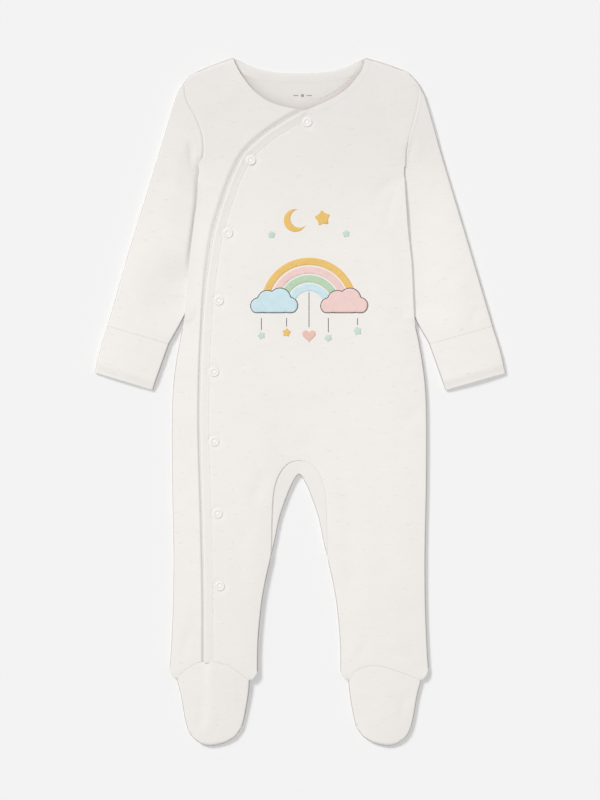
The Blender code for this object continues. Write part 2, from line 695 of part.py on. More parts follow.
# Tape inside the back neck, lying on the back

def neck_facing():
    low, high = WALL + SEAM, WALL + SEAM + FACING_THICK
    rings = []
    edge = [(x, y - 0.4) for x, y in evenly(BACK_NECK_CURVE, FACING_STEPS)]
    inner = [(x * 0.93, y - FACING_WIDE - 0.6) for x, y in edge]
    # The ends turn up into the shoulder seams.
    edge[-1] = (55.2, 298.6)
    inner[-2:] = [(48.4, 288.6), (52.4, 294.6)]
    for number in range(-FACING_STEPS, FACING_STEPS + 1):
        side = -1 if number < 0 else 1
        near, far = mirrored([inner[abs(number)], edge[abs(number)]], side)
        rings.append([(*near, low), (*far, low), (*far, high), (*near, high)])
    ring_loft("neck_facing", rings, facing_cotton)


neck_facing()


# Snaps down the wrapped edge: ring caps with a dished middle, each turned about its axis

def snap_mesh(name):
    mesh = bpy.data.meshes.new(name)
    points = [(radius * MM, 0.0, height * MM) for radius, height in SNAP_PROFILE]
    mesh.from_pydata(points, [(n, n + 1) for n in range(len(points) - 1)], [])
    return mesh


def snaps():
    line = evenly(WRAP_EDGE, 4 * WRAP_STEPS)
    step = math.dist(line[-2], line[-1])
    around = (-SNAP_RADIUS, 0.0, SNAP_RADIUS)
    for number, (along, inset) in enumerate(SNAP_PLACES):
        x, y = moved_in(line, [inset] * len(line))[round(along / step)]
        under = max(main_low(x + dx, y + dy) for dx in around for dy in around)
        name = f"snap_{number + 1}"
        snap = new_object(name, snap_mesh(name), snap_enamel)
        over_binding = inset < BINDING_WIDE + SNAP_RADIUS - 1.0
        base = under + (BINDING_THICK if over_binding else WALL + LAP_CLEAR)
        snap.location = (x * MM, y * MM, base * MM)
        turned = snap.modifiers.new("turned", "SCREW")
        turned.steps = turned.render_steps = SNAP_SIDES
        turned.use_merge_vertices = True
        turned.merge_threshold = 0.00001


snaps()
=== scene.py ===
"""A footed baby sleepsuit in cream marl cotton, laid flat on its back: its cloth, seams, sewing and print.

Lengths are millimetres until a mesh is made. +X is to the right as the suit lies, +Y towards the neck.
"""

import math

import bpy
import numpy as np
from mathutils.geometry import delaunay_2d_cdt
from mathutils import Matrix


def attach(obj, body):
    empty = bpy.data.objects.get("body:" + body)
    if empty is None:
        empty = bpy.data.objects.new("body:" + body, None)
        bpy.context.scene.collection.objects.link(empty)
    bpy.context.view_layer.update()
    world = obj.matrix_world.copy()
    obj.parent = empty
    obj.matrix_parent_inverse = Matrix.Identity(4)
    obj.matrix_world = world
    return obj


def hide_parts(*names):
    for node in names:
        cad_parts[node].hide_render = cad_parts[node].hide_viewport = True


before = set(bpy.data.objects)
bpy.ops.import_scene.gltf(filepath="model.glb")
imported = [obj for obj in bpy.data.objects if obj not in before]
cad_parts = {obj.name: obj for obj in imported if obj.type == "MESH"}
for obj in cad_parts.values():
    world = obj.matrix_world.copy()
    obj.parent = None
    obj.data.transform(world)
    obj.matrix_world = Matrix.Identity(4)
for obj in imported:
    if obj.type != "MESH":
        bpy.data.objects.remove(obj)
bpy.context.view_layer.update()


# Back
# One piece of interlock cotton, from the neck and both shoulders down to the heels and parted between
# the legs. It lies on the floor, but its sides are carried by the sleeves, which are tucked beneath them.

MM = 0.001
CLOTH = 1.0  # one layer of interlock
LAYER_GAP = 0.3  # between layers that lie on each other
SEAM = 0.02  # between edges that are sewn together
FREE_BULGE, SEWN_BULGE = 0.25, 0.05  # how far a free edge and a sewn one round out
SHARP = 64.0  # degrees; an edge that turns by more is a crisp one
ARMPIT, PARTING = 205.0, -51.0 + SEAM  # heights of the underarm and of the top of the crotch seam
ARM_ROWS, TORSO_ROWS, LEG_ROWS = 70, 134, 100
SHOULDER_BEND, END_BEND = 1.5, 1.6  # how fast the rows of a grid bend towards its top and its lower end


def smooth(share):
    share = np.clip(share, 0.0, 1.0)
    return share * share * (3 - 2 * share)


def curve(points, steps=16):
    """Close points on a smooth curve through the given ones."""
    knots = np.array(points, float)
    knots = np.vstack([2 * knots[0] - knots[1], knots, 2 * knots[-1] - knots[-2]])
    t = np.arange(steps)[:, None] / steps
    weights = (-t + 2 * t**2 - t**3, 2 - 5 * t**2 + 3 * t**3, t + 4 * t**2 - 3 * t**3, t**3 - t**2)
    spans = [sum(w * p for w, p in zip(weights, knots[k : k + 4])) / 2 for k in range(len(knots) - 3)]
    return np.vstack([*spans, knots[-2]])


def spaced(line, count):
    """count + 1 points at even steps along a line."""
    run = np.append(0.0, np.cumsum(np.linalg.norm(np.diff(line, axis=0), axis=1)))
    return np.column_stack([np.interp(np.linspace(0, run[-1], count + 1), run, line[:, k]) for k in (0, 1)])


def read(line, value, axis=1):
    """The other coordinate of a line where it reaches a value; axis 1 reads x at a height y."""
    order = np.argsort(line[:, axis], kind="stable")
    return np.interp(value, line[order, axis], line[order, 1 - axis])


def mirrored(line, side=-1):
    return line * (side, 1)


def moved_in(line, distance):
    """A line moved sideways, to the left of its own direction."""
    ahead = np.gradient(line, axis=0)
    ahead /= np.linalg.norm(ahead, axis=1)[:, None]
    return line + np.column_stack([-ahead[:, 1], ahead[:, 0]]) * np.reshape(distance, (-1, 1))


def distance(lines, x, y):
    """From each point to the nearest of these lines."""
    starts = np.vstack([line[:-1] for line in lines])
    steps = np.vstack([np.diff(line, axis=0) for line in lines])
    points, nearest = np.column_stack([np.ravel(x), np.ravel(y)]), np.empty(np.size(x))
    for chosen in np.array_split(np.arange(len(points)), len(points) // 4000 + 1):
        off = points[chosen, None] - starts
        share = np.clip((off * steps).sum(2) / (steps**2).sum(1), 0, 1)
        nearest[chosen] = np.linalg.norm(off - share[..., None] * steps, axis=2).min(1)
    return nearest.reshape(np.shape(x))


# Edges of each half, from the neck down, with x counted outwards. The halves lie almost alike.
NECK_CORNER, ANKLE, INNER_ANKLE = (58.2, 301.0), (113.2, -232.5), (36.3, -235.5)
HEEL_SPAN = (43.2, 106.9)  # the sole's width at the heel
SHOULDER = {
    -1: curve([NECK_CORNER, (71.0, 296.6), (84.5, 291.2), (94.5, 286.3), (101.2, 279.0)]),
    1: curve([NECK_CORNER, (71.0, 297.4), (84.5, 292.8), (95.8, 287.9), (103.4, 280.0)]),
}
ARMHOLE = {
    -1: mirrored(curve([
        (101.2, 279.0), (98.6, 264.0), (91.2, 250.0), (85.2, 234.0), (84.0, 217.0), (88.2, ARMPIT),
    ])),
    1: curve([
        (103.4, 280.0), (104.2, 268.0), (102.6, 257.0), (99.0, 243.0), (95.6, 231.0), (93.4, 219.0),
        (92.5, ARMPIT),
    ]),
}
BODY_SIDE = {
    -1: curve([
        (88.2, ARMPIT), (88.5, 193.0), (89.4, 174.0), (91.6, 158.0), (94.8, 132.0), (97.2, 105.0),
        (99.6, 77.0), (104.0, 55.0), (108.0, 32.0), (110.3, 10.0), (111.2, -20.0), (110.9, -70.0),
        (109.8, -130.0), (110.2, -175.0), (111.4, -205.0), (112.4, -222.0), ANKLE,
    ]),
    1: curve([
        (92.5, ARMPIT), (92.4, 190.0), (95.0, 152.0), (98.4, 120.0), (100.6, 75.0), (104.5, 55.0),
        (108.5, 32.0), (110.9, 10.0), (111.8, -20.0), (111.6, -70.0), (110.4, -130.0), (110.6, -175.0),
        (111.6, -205.0), (112.5, -222.0), ANKLE,
    ]),
}
SLEEVE_INNER = {
    -1: curve([
        (88.3, 204.4), (87.6, 197.0), (86.0, 186.0), (84.0, 166.0), (84.6, 136.0), (88.6, 106.0),
        (95.0, 86.0), (101.2, 73.5), (107.4, 61.8), (113.8, 50.6),
    ]),
    1: curve([
        (92.6, 204.4), (91.6, 197.0), (89.8, 186.0), (87.0, 166.0), (86.6, 136.0), (89.4, 106.0),
        (95.2, 86.0), (101.2, 73.5), (107.4, 61.8), (113.8, 50.6),
    ]),
}
INNER_LEG = curve([
    (0.0, -63.8), (1.6, -64.5), (4.3, -68.6), (8.6, -77.6), (13.6, -91.0), (17.6, -104.0), (21.9, -125.0),
    (25.6, -140.0), (29.0, -155.0), (32.0, -171.0), (34.4, -191.0), (36.0, -212.0), INNER_ANKLE,
])
GUSSET_SEAM = curve([
    (0.0, -51.0), (8.5, -53.0), (15.4, -59.5), (20.2, -69.0), (22.8, -80.0), (23.6, -91.0), (24.1, -104.0),
    (24.4, -122.0), (25.4, -139.0),
])
BACK_NECK = curve([
    (0.0, 287.4), (16.0, 287.8), (29.0, 289.6), (41.0, 293.0), (50.0, 297.0), NECK_CORNER,
])
HEEL = -242.8  # seam between the back and the soles
SEAM_JOINS = (-139.0, -141.0)  # heights between which the crotch seam runs out into the leg's edge
TUCK_FADE, TUCK_MARGIN = 28.0, 3.0  # the body rises over a tucked sleeve within these of its edge
TUCK_TOP, TUCK_END, TUCK_OUT = 13.0, 58.0, 16.0  # fades in below the armpit, and out above this height
TUCK_EASE = 0.15  # air round a tucked sleeve
BUNCH_FADE = 46.0  # how far in from the side the fronts still stand higher where the sleeve bunches
WAIST_BUNCH, WAIST, WAIST_FADE = 0.8, 100.0, 30.0  # by how much, from the waist down
PIT_BUNCH, PIT_END, PIT_FADE = 1.1, 125.0, 45.0  # and below the right armpit


def either(lines, x, value, axis=1):
    """Reads the left or the right line, whichever half x is in."""
    return np.where(x < 0, read(lines[-1], value, axis), read(lines[1], value, axis))


def sleeve_lift(x, y):
    """How far the body's side is carried up by the sleeve tucked beneath it."""
    low = np.minimum(y, ARMPIT)
    edge = np.minimum(either(SLEEVE_INNER, x, low), either(BODY_SIDE, x, low))
    along = smooth((ARMPIT - y) / TUCK_TOP) * smooth((y - TUCK_END) / TUCK_OUT)
    carried = smooth((np.abs(x) - edge + TUCK_MARGIN + TUCK_FADE) / TUCK_FADE)
    tucked = smooth((y - PIT_END) / PIT_FADE) * smooth((ARMPIT - y) / PIT_FADE)
    bunched = WAIST_BUNCH * smooth((WAIST - y) / WAIST_FADE) + PIT_BUNCH * tucked * (x > 0)
    spread = smooth((np.abs(x) - edge + BUNCH_FADE) / BUNCH_FADE)
    return along * ((2 * CLOTH + LAYER_GAP + TUCK_EASE) * carried + bunched * spread)


def back_top(x, y):
    return CLOTH + sleeve_lift(x, y)


def inner_rail(side):
    """Down the inside of one leg: along the crotch seam, then the leg's edge."""
    seam_end, leg_start = SEAM_JOINS
    seam = GUSSET_SEAM + SEAM * smooth((GUSSET_SEAM[:, 1:] - seam_end) / 12.0)
    seam[0, 0] = 0.0
    return mirrored(spaced(np.vstack([seam, INNER_LEG[INNER_LEG[:, 1] < leg_start]]), LEG_ROWS), side)


def side_rail(side):
    """Down one side of the body: armhole, side seam, leg."""
    heights = np.append(
        np.linspace(ARMPIT, PARTING, TORSO_ROWS + 1)[1:], np.linspace(PARTING, ANKLE[1], LEG_ROWS + 1)[1:]
    )
    seam = np.column_stack([read(BODY_SIDE[side], heights), heights])
    return np.vstack([spaced(ARMHOLE[side], ARM_ROWS), mirrored(seam, side)])


def graded(count, crowding=0.5):
    """Shares from 0 to 1 that crowd towards both ends."""
    even = np.arange(count + 1) / count
    return even - crowding * np.sin(2 * np.pi * even) / (2 * np.pi)


def rows_between(lefts, rights, shares):
    """Rows of points between two rails, at the same shares of every row or at each row's own."""
    shares = shares[:, None] if shares.ndim == 1 else shares
    return lefts[:, None] + (rights - lefts)[:, None] * shares


def bent_to(rows, wanted, count, power):
    """Bends the first rows so that the very first one has the wanted heights."""
    up = wanted - rows[0, :, 1]
    rows[:count, :, 1] += up * ((1 - np.arange(count) / count) ** power)[:, None]
    return rows


def shoulder_height(x):
    out = np.abs(x)
    return np.where(out < NECK_CORNER[0], read(BACK_NECK, out, 0), either(SHOULDER, x, out, 0))


def back_grids():
    shares = graded(40)
    left, right = side_rail(-1), side_rail(1)
    split = ARM_ROWS + TORSO_ROWS
    upper_left, upper_right = left[: split + 1], right[: split + 1]
    middle = np.column_stack([np.zeros(split + 1), (upper_left[:, 1] + upper_right[:, 1]) / 2])
    halves = rows_between(upper_left, middle, shares), rows_between(middle, upper_right, shares)
    torso = np.concatenate([halves[0], halves[1][:, 1:]], axis=1)
    torso = bent_to(torso, shoulder_height(torso[0, :, 0]), ARM_ROWS, SHOULDER_BEND)
    legs, heel_x = [], [INNER_ANKLE[0], *HEEL_SPAN, ANKLE[0]]
    for side, rail in ((-1, left), (1, right)):
        ends = (rail[split:], inner_rail(-1)) if side < 0 else (inner_rail(1), rail[split:])
        leg = rows_between(*ends, shares)
        heel = np.interp(np.abs(leg[-1, :, 0]), heel_x, [INNER_ANKLE[1], HEEL, HEEL, ANKLE[1]])
        legs.append(bent_to(leg[::-1], np.maximum(HEEL, heel), 24, END_BEND)[::-1])
    return [torso, *legs]


def woven(grid, closed=False):
    """The points of a grid as one list, and four-sided faces between them. A closed one goes all round."""
    number = np.arange(grid.shape[0] * grid.shape[1]).reshape(grid.shape[:2])
    near, beside = (number, np.roll(number, -1, axis=1)) if closed else (number[:, :-1], number[:, 1:])
    faces = np.stack([near[:-1], near[1:], beside[1:], beside[:-1]], -1).reshape(-1, 4)
    return grid.reshape(number.size, -1), faces


def together(bodies):
    """Several bodies as one, each given by its points and its faces."""
    points, faces, count = [], [], 0
    for some, corners in bodies:
        points.append(some)
        faces.append(corners + count)
        count += len(some)
    return np.vstack(points), np.vstack(faces)


def joined(grids):
    """The points of several grids that share rails, each kept once, and the four-sided faces between."""
    points, faces = together([woven(grid) for grid in grids])
    _, first, same = np.unique(np.round(points, 3), axis=0, return_index=True, return_inverse=True)
    return points[first], same.reshape(-1)[faces]


def unit(vectors):
    return vectors / np.maximum(np.linalg.norm(vectors, axis=1), 1e-12)[:, None]


def cloth_shell(points, faces, wall, bulge, layer=None):
    """Gives an open surface its thickness, downwards from the seen side, with every edge rounded.

    The bulge is one number, or a function of the edge's own x and y. The layer, for a tube, is 1 at points
    of its upper side, -1 at those of its lower side and 0 round its folds.
    """
    across = np.cross(points[faces[:, 2]] - points[faces[:, 0]], points[faces[:, 3]] - points[faces[:, 1]])
    facing = np.zeros_like(points)
    for corner in range(4):
        np.add.at(facing, faces[:, corner], across)
    facing = unit(facing)
    if layer is not None:
        facing[facing[:, 2] * layer < 0] *= -1
    inner = points - facing * wall
    sides = np.vstack([faces[:, [k, (k + 1) % 4]] for k in range(4)])
    sides = sides[sides[:, 0] != sides[:, 1]]
    keys = sides[:, 0] * len(points) + sides[:, 1]
    rim = sides[~np.isin(keys, sides[:, 1] * len(points) + sides[:, 0])]
    outward = np.zeros_like(points)
    away = unit(np.cross(points[rim[:, 1]] - points[rim[:, 0]], facing[rim[:, 0]]))
    for corner in (0, 1):
        np.add.at(outward, rim[:, corner], away)
    edge = np.unique(rim)
    if callable(bulge):
        bulge = bulge(points[edge, 0], points[edge, 1])[:, None]
    outward, middle = unit(outward[edge]) * bulge, (points + inner)[edge] / 2
    place = np.full(len(points), -1)
    place[edge] = np.arange(len(edge))
    rings = [edge]
    stack = [points, inner]
    steps = 4
    for step in range(1, steps):
        turn = math.pi * step / steps
        stack.append(middle + facing[edge] * (wall / 2 * math.cos(turn)) + outward * math.sin(turn))
        rings.append(2 * len(points) + (step - 1) * len(edge) + np.arange(len(edge)))
    rings.append(edge + len(points))
    whole = [faces, faces[:, ::-1] + len(points)]
    a, b = place[rim[:, 0]], place[rim[:, 1]]
    for upper, lower in zip(rings, rings[1:]):
        whole.append(np.stack([upper[b], upper[a], lower[a], lower[b]], -1))
    return np.vstack(stack), np.vstack(whole)


def placed(name, data):
    """A new object in the scene, from its mesh, lamp or lens."""
    made = bpy.data.objects.new(name, data)
    bpy.context.scene.collection.objects.link(made)
    return made


def piece_of(name, points, faces, material):
    """A mesh from points in millimetres, shaded smooth, that rides on the suit."""
    mesh = bpy.data.meshes.new(name)
    corners = [list(dict.fromkeys(face)) for face in faces.tolist()]
    mesh.from_pydata((points * MM).tolist(), [], [ring for ring in corners if len(ring) > 2])
    mesh.shade_smooth()
    mesh.set_sharp_from_angle(angle=math.radians(SHARP))
    mesh.materials.append(material)
    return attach(placed(name, mesh), "root")


def cloth(name, grids, top, material, wall=CLOTH, bulge=FREE_BULGE):
    """A panel of cloth over grids of plan points, with its upper side at the heights that top gives."""
    plan, faces = joined(grids)
    points = np.column_stack([plan, top(plan[:, 0], plan[:, 1])])
    return piece_of(name, *cloth_shell(points, faces, wall, bulge), material)


def cut_area(grids):
    """Flat area of the cut, in square metres."""
    plan, faces = joined(grids)
    one, other = plan[faces[:, 2]] - plan[faces[:, 0]], plan[faces[:, 3]] - plan[faces[:, 1]]
    return float(np.abs(one[:, 0] * other[:, 1] - one[:, 1] * other[:, 0]).sum() / 2) * MM**2


class Thread:
    """One output of a node. Sums on it add Math nodes."""

    def __init__(self, tree, socket):
        self.tree, self.socket = tree, socket

    def node(self, kind, sockets, output=0, **settings):
        """Adds a node: its settings first, then the value or link of each named or numbered socket."""
        made = self.tree.nodes.new(kind)
        for name, value in settings.items():
            setattr(made, name, value)
        for name, value in sockets.items():
            fitting = [s for s in made.inputs if s.enabled and s.name == name]
            socket = made.inputs[name] if isinstance(name, int) else fitting[0]
            if not isinstance(value, (Thread, list)):
                socket.default_value = value
            for thread in value if isinstance(value, list) else [value]:
                if isinstance(thread, Thread):
                    self.tree.links.new(thread.socket, socket)
        return Thread(self.tree, made.outputs[output])

    def sum(self, operation, a, b=0.0, clamp=False):
        return self.node("ShaderNodeMath", {0: a, 1: b}, operation=operation, use_clamp=clamp)

    def __add__(self, other):
        return self.sum("ADD", self, other)

    def __sub__(self, other):
        return self.sum("SUBTRACT", self, other)

    def __rsub__(self, other):
        return self.sum("SUBTRACT", other, self)

    def __mul__(self, other):
        return self.sum("MULTIPLY", self, other)

    __radd__, __rmul__ = __add__, __mul__

    def clamped(self):
        return self.sum("ADD", self, 0.0, clamp=True)

    def eased(self, low, high):
        """0 up to the first value, 1 from the second on, with a soft way between."""
        return self.node(
            "ShaderNodeMapRange", {"Value": self, "From Min": low, "From Max": high},
            interpolation_type="SMOOTHSTEP",
        )

    def wave(self, pitch):
        return self.sum("SINE", self * (2 * math.pi / (pitch * MM)))

    def along(self, axis):
        return self.node("ShaderNodeSeparateXYZ", {"Vector": self}, output=axis)

    def grain(self, size, stretch=1.0, detail=2.0):
        """Noise with grains of this size in millimetres, longer along X by the stretch."""
        scaled = self.node("ShaderNodeMapping", {
            "Vector": self, "Scale": (1 / (size * stretch * MM), 1 / (size * MM), 1 / (size * MM)),
        })
        return self.node("ShaderNodeTexNoise", {"Vector": scaled, "Scale": 1.0, "Detail": detail})

    def spots(self, wide, high, area):
        """Scattered spots of this width and height, one to each area of cloth, each of its own strength."""
        cell = math.sqrt(area * high / wide)
        scaled = self.node("ShaderNodeMapping", {
            "Vector": self, "Scale": (high / wide / cell / MM, 1 / cell / MM, 1.0),
        })
        cells = {"Vector": scaled, "Scale": 1.0}
        near = scaled.node("ShaderNodeTexVoronoi", cells, voronoi_dimensions="2D")
        strength = Thread(self.tree, near.socket.node.outputs["Color"]).along(0)
        edge = high / 2 / cell
        return (1 - near.eased(edge * 0.45, edge * 1.4)) * (strength * 0.75 + 0.25)

    def ruffled(self, size, reach):
        """The same place, moved a little this way and that."""
        kind = "ShaderNodeVectorMath"
        scaled = self.node(kind, {0: self, 1: (1 / (size * MM),) * 3}, operation="MULTIPLY")
        noise = self.node("ShaderNodeTexNoise", {"Vector": scaled, "Scale": 1.0, "Detail": 1.0}, output=1)
        wide, back = (2 * reach * MM,) * 3, (-reach * MM,) * 3
        moved = self.node(kind, {0: noise, 1: wide, 2: back}, operation="MULTIPLY_ADD")
        return self.node(kind, {0: self, 1: moved}, operation="ADD")

    def mixed(self, base, tint, blend="MIX"):
        """Colour from base to tint as this goes from 0 to 1."""
        sockets = {"Factor": self, "A": base, "B": tint}
        return self.node("ShaderNodeMix", sockets, output=2, data_type="RGBA", blend_type=blend)

    def bump(self, strength, deep):
        """Relief over this height, as deep as this in millimetres."""
        return self.node("ShaderNodeBump", {"Height": self, "Strength": strength, "Distance": deep * MM})

    def into(self, shader, name):
        """Links this to one of the shader's sockets."""
        self.tree.links.new(self.socket, shader.inputs[name])


def new_finish(name, roughness, sheen=0.0, specular=0.3):
    """A material, its shader, and the object's own coordinates as the start of its pattern."""
    material = bpy.data.materials.new(name)
    material.use_nodes = True
    shader = material.node_tree.nodes["Principled BSDF"]
    shader.inputs["Roughness"].default_value = roughness
    shader.inputs["Sheen Weight"].default_value = sheen
    shader.inputs["Sheen Roughness"].default_value = 0.6
    shader.inputs["Specular IOR Level"].default_value = specular
    places = Thread(material.node_tree, None).node("ShaderNodeTexCoord", {}, output=3)
    return material, shader, places


WALE, COURSE = 1.05, 0.85  # pitch of the knit across and along
CREAM, DEEP_CREAM = (0.880, 0.846, 0.814, 1.0), (0.856, 0.820, 0.785, 1.0)
FALLOFF_SHADE = (0.930, 0.938, 0.944, 1.0)  # painted shade, darker and cooler towards the shoulders, over the cream
EDGE_SHADE = (0.72, 0.70, 0.685, 1.0)  # painted shade on faces that turn steeply over an edge
DEEP_SHADE = (0.22, 0.08, 0.0, 1.0)  # the warm shade inside the neck, at its full strength
SHADE_CHEST, SHADE_LEGS = (0.125, 0.275), (-0.05, -0.30)  # in metres, the heights over which the painted shade comes in, up high and towards the feet
EDGE_SLOPES = (0.45, 0.93)  # how far a face looks up where its painted shade is darkest, and where it has none
MOTTLE = 2.2  # contrast of the faint clouding
MARL = [  # flecks, slubs and neps: width, height, the cloth to each one, strength, colour
    (1.6, 1.0, 130.0, 0.30, (0.60, 0.56, 0.52, 1.0)), (4.2, 1.0, 620.0, 0.42, (0.70, 0.655, 0.60, 1.0)),
    (2.6, 1.4, 260.0, 0.35, (0.93, 0.915, 0.89, 1.0)),
]


def knit_bump(shader, plan, strength):
    """Fine wales and courses with a little fuzz, felt more than seen."""
    x, y = plan.along(0), plan.along(1)
    rib = x.wave(WALE) * x.wave(WALE) * (y.wave(COURSE) * 0.3 + 0.7)
    height = rib * 0.45 + plan.grain(0.4, 1.0, 1.0) * 0.5 + plan.grain(2.6, 1.3, 1.0) * 0.6
    height.bump(strength, 0.12).into(shader, "Normal")


def interlock(name, turned=0.0, light=CREAM, deep=DEEP_CREAM, marl=1.0):
    """Marl interlock: faint clouding, flecks, slubs and neps, with painted shade that darkens and cools it
    up high, darkens steep edges and deepens the inside of the neck.
    """
    material, shader, places = new_finish(name, 0.92, sheen=0.08, specular=0.15)
    plan = places.node("ShaderNodeMapping", {"Vector": places, "Rotation": (0, 0, turned)})
    mottle = plan.grain(24.0, 1.6) * 0.5 + plan.grain(6.5, 2.4) * 0.5
    colour = ((mottle - 0.5) * MOTTLE + 0.5).clamped().mixed(deep, light)
    loose = plan.ruffled(1.6, 0.35)
    for wide, high, area, strength, tint in MARL:
        colour = (loose.spots(wide, high, area) * (strength * marl)).mixed(colour, tint)
    height = places.along(1)
    # Painted shade: the cream is darker and cooler up high, and half as much towards the feet.
    shade_falloff = height.eased(*SHADE_CHEST) + height.eased(*SHADE_LEGS) * 0.5
    colour = shade_falloff.mixed(colour, FALLOFF_SHADE, "MULTIPLY")
    # Painted shade: the steeper a face, the darker its colour.
    upward = places.node("ShaderNodeNewGeometry", {}, output="Normal").along(2)
    colour = (1 - upward.eased(*EDGE_SLOPES)).mixed(colour, EDGE_SHADE, "MULTIPLY")
    # Painted shade inside the neck, from the back's shade attribute.
    within = places.node("ShaderNodeAttribute", {}, output="Fac", attribute_name="shade")
    within.mixed(colour, DEEP_SHADE, "MULTIPLY").into(shader, "Base Color")
    knit_bump(shader, plan, 0.45)
    return material


body_cotton = interlock("body_cotton")
back_plan = back_grids()
back = cloth("back_panel", back_plan, back_top, body_cotton)
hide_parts("back")
cut_area(back_plan)


# Under front
# The narrow front from the left shoulder to the left ankle. It is sewn to the back at the shoulder and the
# side, and its free inner edge runs on beneath the wrapped one, where the studs of the snaps are.

FULLNESS, EDGE_ROLL = 1.3, 34.0  # the front stands off the back by this, reached within the roll of an edge
EDGE_TURN, TURN_WIDE = 2.0, 1.0  # and turns down steeply just at the edge
EDGE_CALM = 13.0  # waves and creases fade out within this of an edge
CARRIED_SHARE = 0.95  # how much of its lift by a tucked sleeve the front's own fullness takes up
PRESS, CHEST_PRESS = (1.25, 2.6), (0.30, 2.5)  # depth and width of the trough, and more on the chest
CHEST, CHEST_FADE = 60.0, 90.0  # the chest begins at this height, over this stretch
UNDERLAP, CORNER_DROP = 28.0, 8.0
NECK_SHADE, NECK_DEEPER, SHADE_FADE = 0.035, 0.235, 5.2  # painted shade on the back's inside, more near the fronts
SLEEVE_OUTER = {
    -1: curve([
        (101.2, 279.0), (107.2, 268.0), (111.8, 254.0), (116.4, 238.5), (121.3, 222.0), (130.0, 193.0),
        (148.6, 132.8), (167.8, 66.5),
    ]),
    1: curve([
        (103.4, 280.0), (109.4, 269.0), (113.8, 255.0), (118.4, 239.0), (123.1, 222.0), (131.8, 193.0),
        (149.9, 132.8), (169.5, 66.5),
    ]),
}
FOOT_OUTER = curve([(106.9, -243.4), (103.2, -258.0), (100.3, -275.0), (97.0, -287.6), (92.2, -294.6)])
FOOT_INNER = curve([(43.2, -243.9), (44.3, -256.0), (46.8, -271.0), (50.2, -284.6), (56.4, -293.4)])
TOES = curve([(56.4, -293.4), (65.4, -298.6), (76.0, -301.0), (84.8, -299.6), (92.2, -294.6)])
HEM = {
    -1: curve([
        INNER_ANKLE, (38.2, -239.6), (43.2, -243.6), (52.0, -236.8), (61.0, -231.2), (70.0, -228.0),
        (79.0, -226.8), (88.0, -227.8), (97.0, -232.6), (103.0, -237.4), (106.9, -242.4),
        (111.4, -238.4), ANKLE,
    ]),
    1: curve([
        INNER_ANKLE, (38.2, -239.6), (43.2, -243.6), (48.5, -236.2), (55.5, -232.2), (63.0, -230.6),
        (73.0, -231.4), (83.0, -234.4), (92.0, -237.6), (100.0, -240.6), (106.9, -243.6),
        (111.4, -238.8), ANKLE,
    ]),
}
UNDER_NECK = curve([
    (-58.2, 301.0), (-53.1, 290.0), (-47.9, 282.0), (-40.8, 273.1), (-33.5, 266.9), (-25.2, 261.9),
    (-15.1, 258.6), (-5.6, 256.4), (3.0, 255.2), (14.0, 255.0),
])
WRAP_EDGE = spaced(curve([
    (11.6, 257.3), (7.6, 255.6), (-0.5, 252.2), (-13.4, 244.9), (-29.8, 233.8), (-47.4, 217.4),
    (-58.5, 196.6), (-67.5, 171.5), (-74.7, 146.0), (-79.7, 115.6), (-83.3, 82.0), (-86.1, 30.0),
    (-86.7, -28.0), (-84.8, -95.0), (-83.3, -165.0), (-83.2, -228.0),
]), 290)
UNDERLAP_EDGE = curve([(14.0, 255.0), (12.5, 241.0), (7.0, 229.0)] + [
    tuple(p) for p in moved_in(WRAP_EDGE, UNDERLAP)[::24] if p[1] < 222.0
])

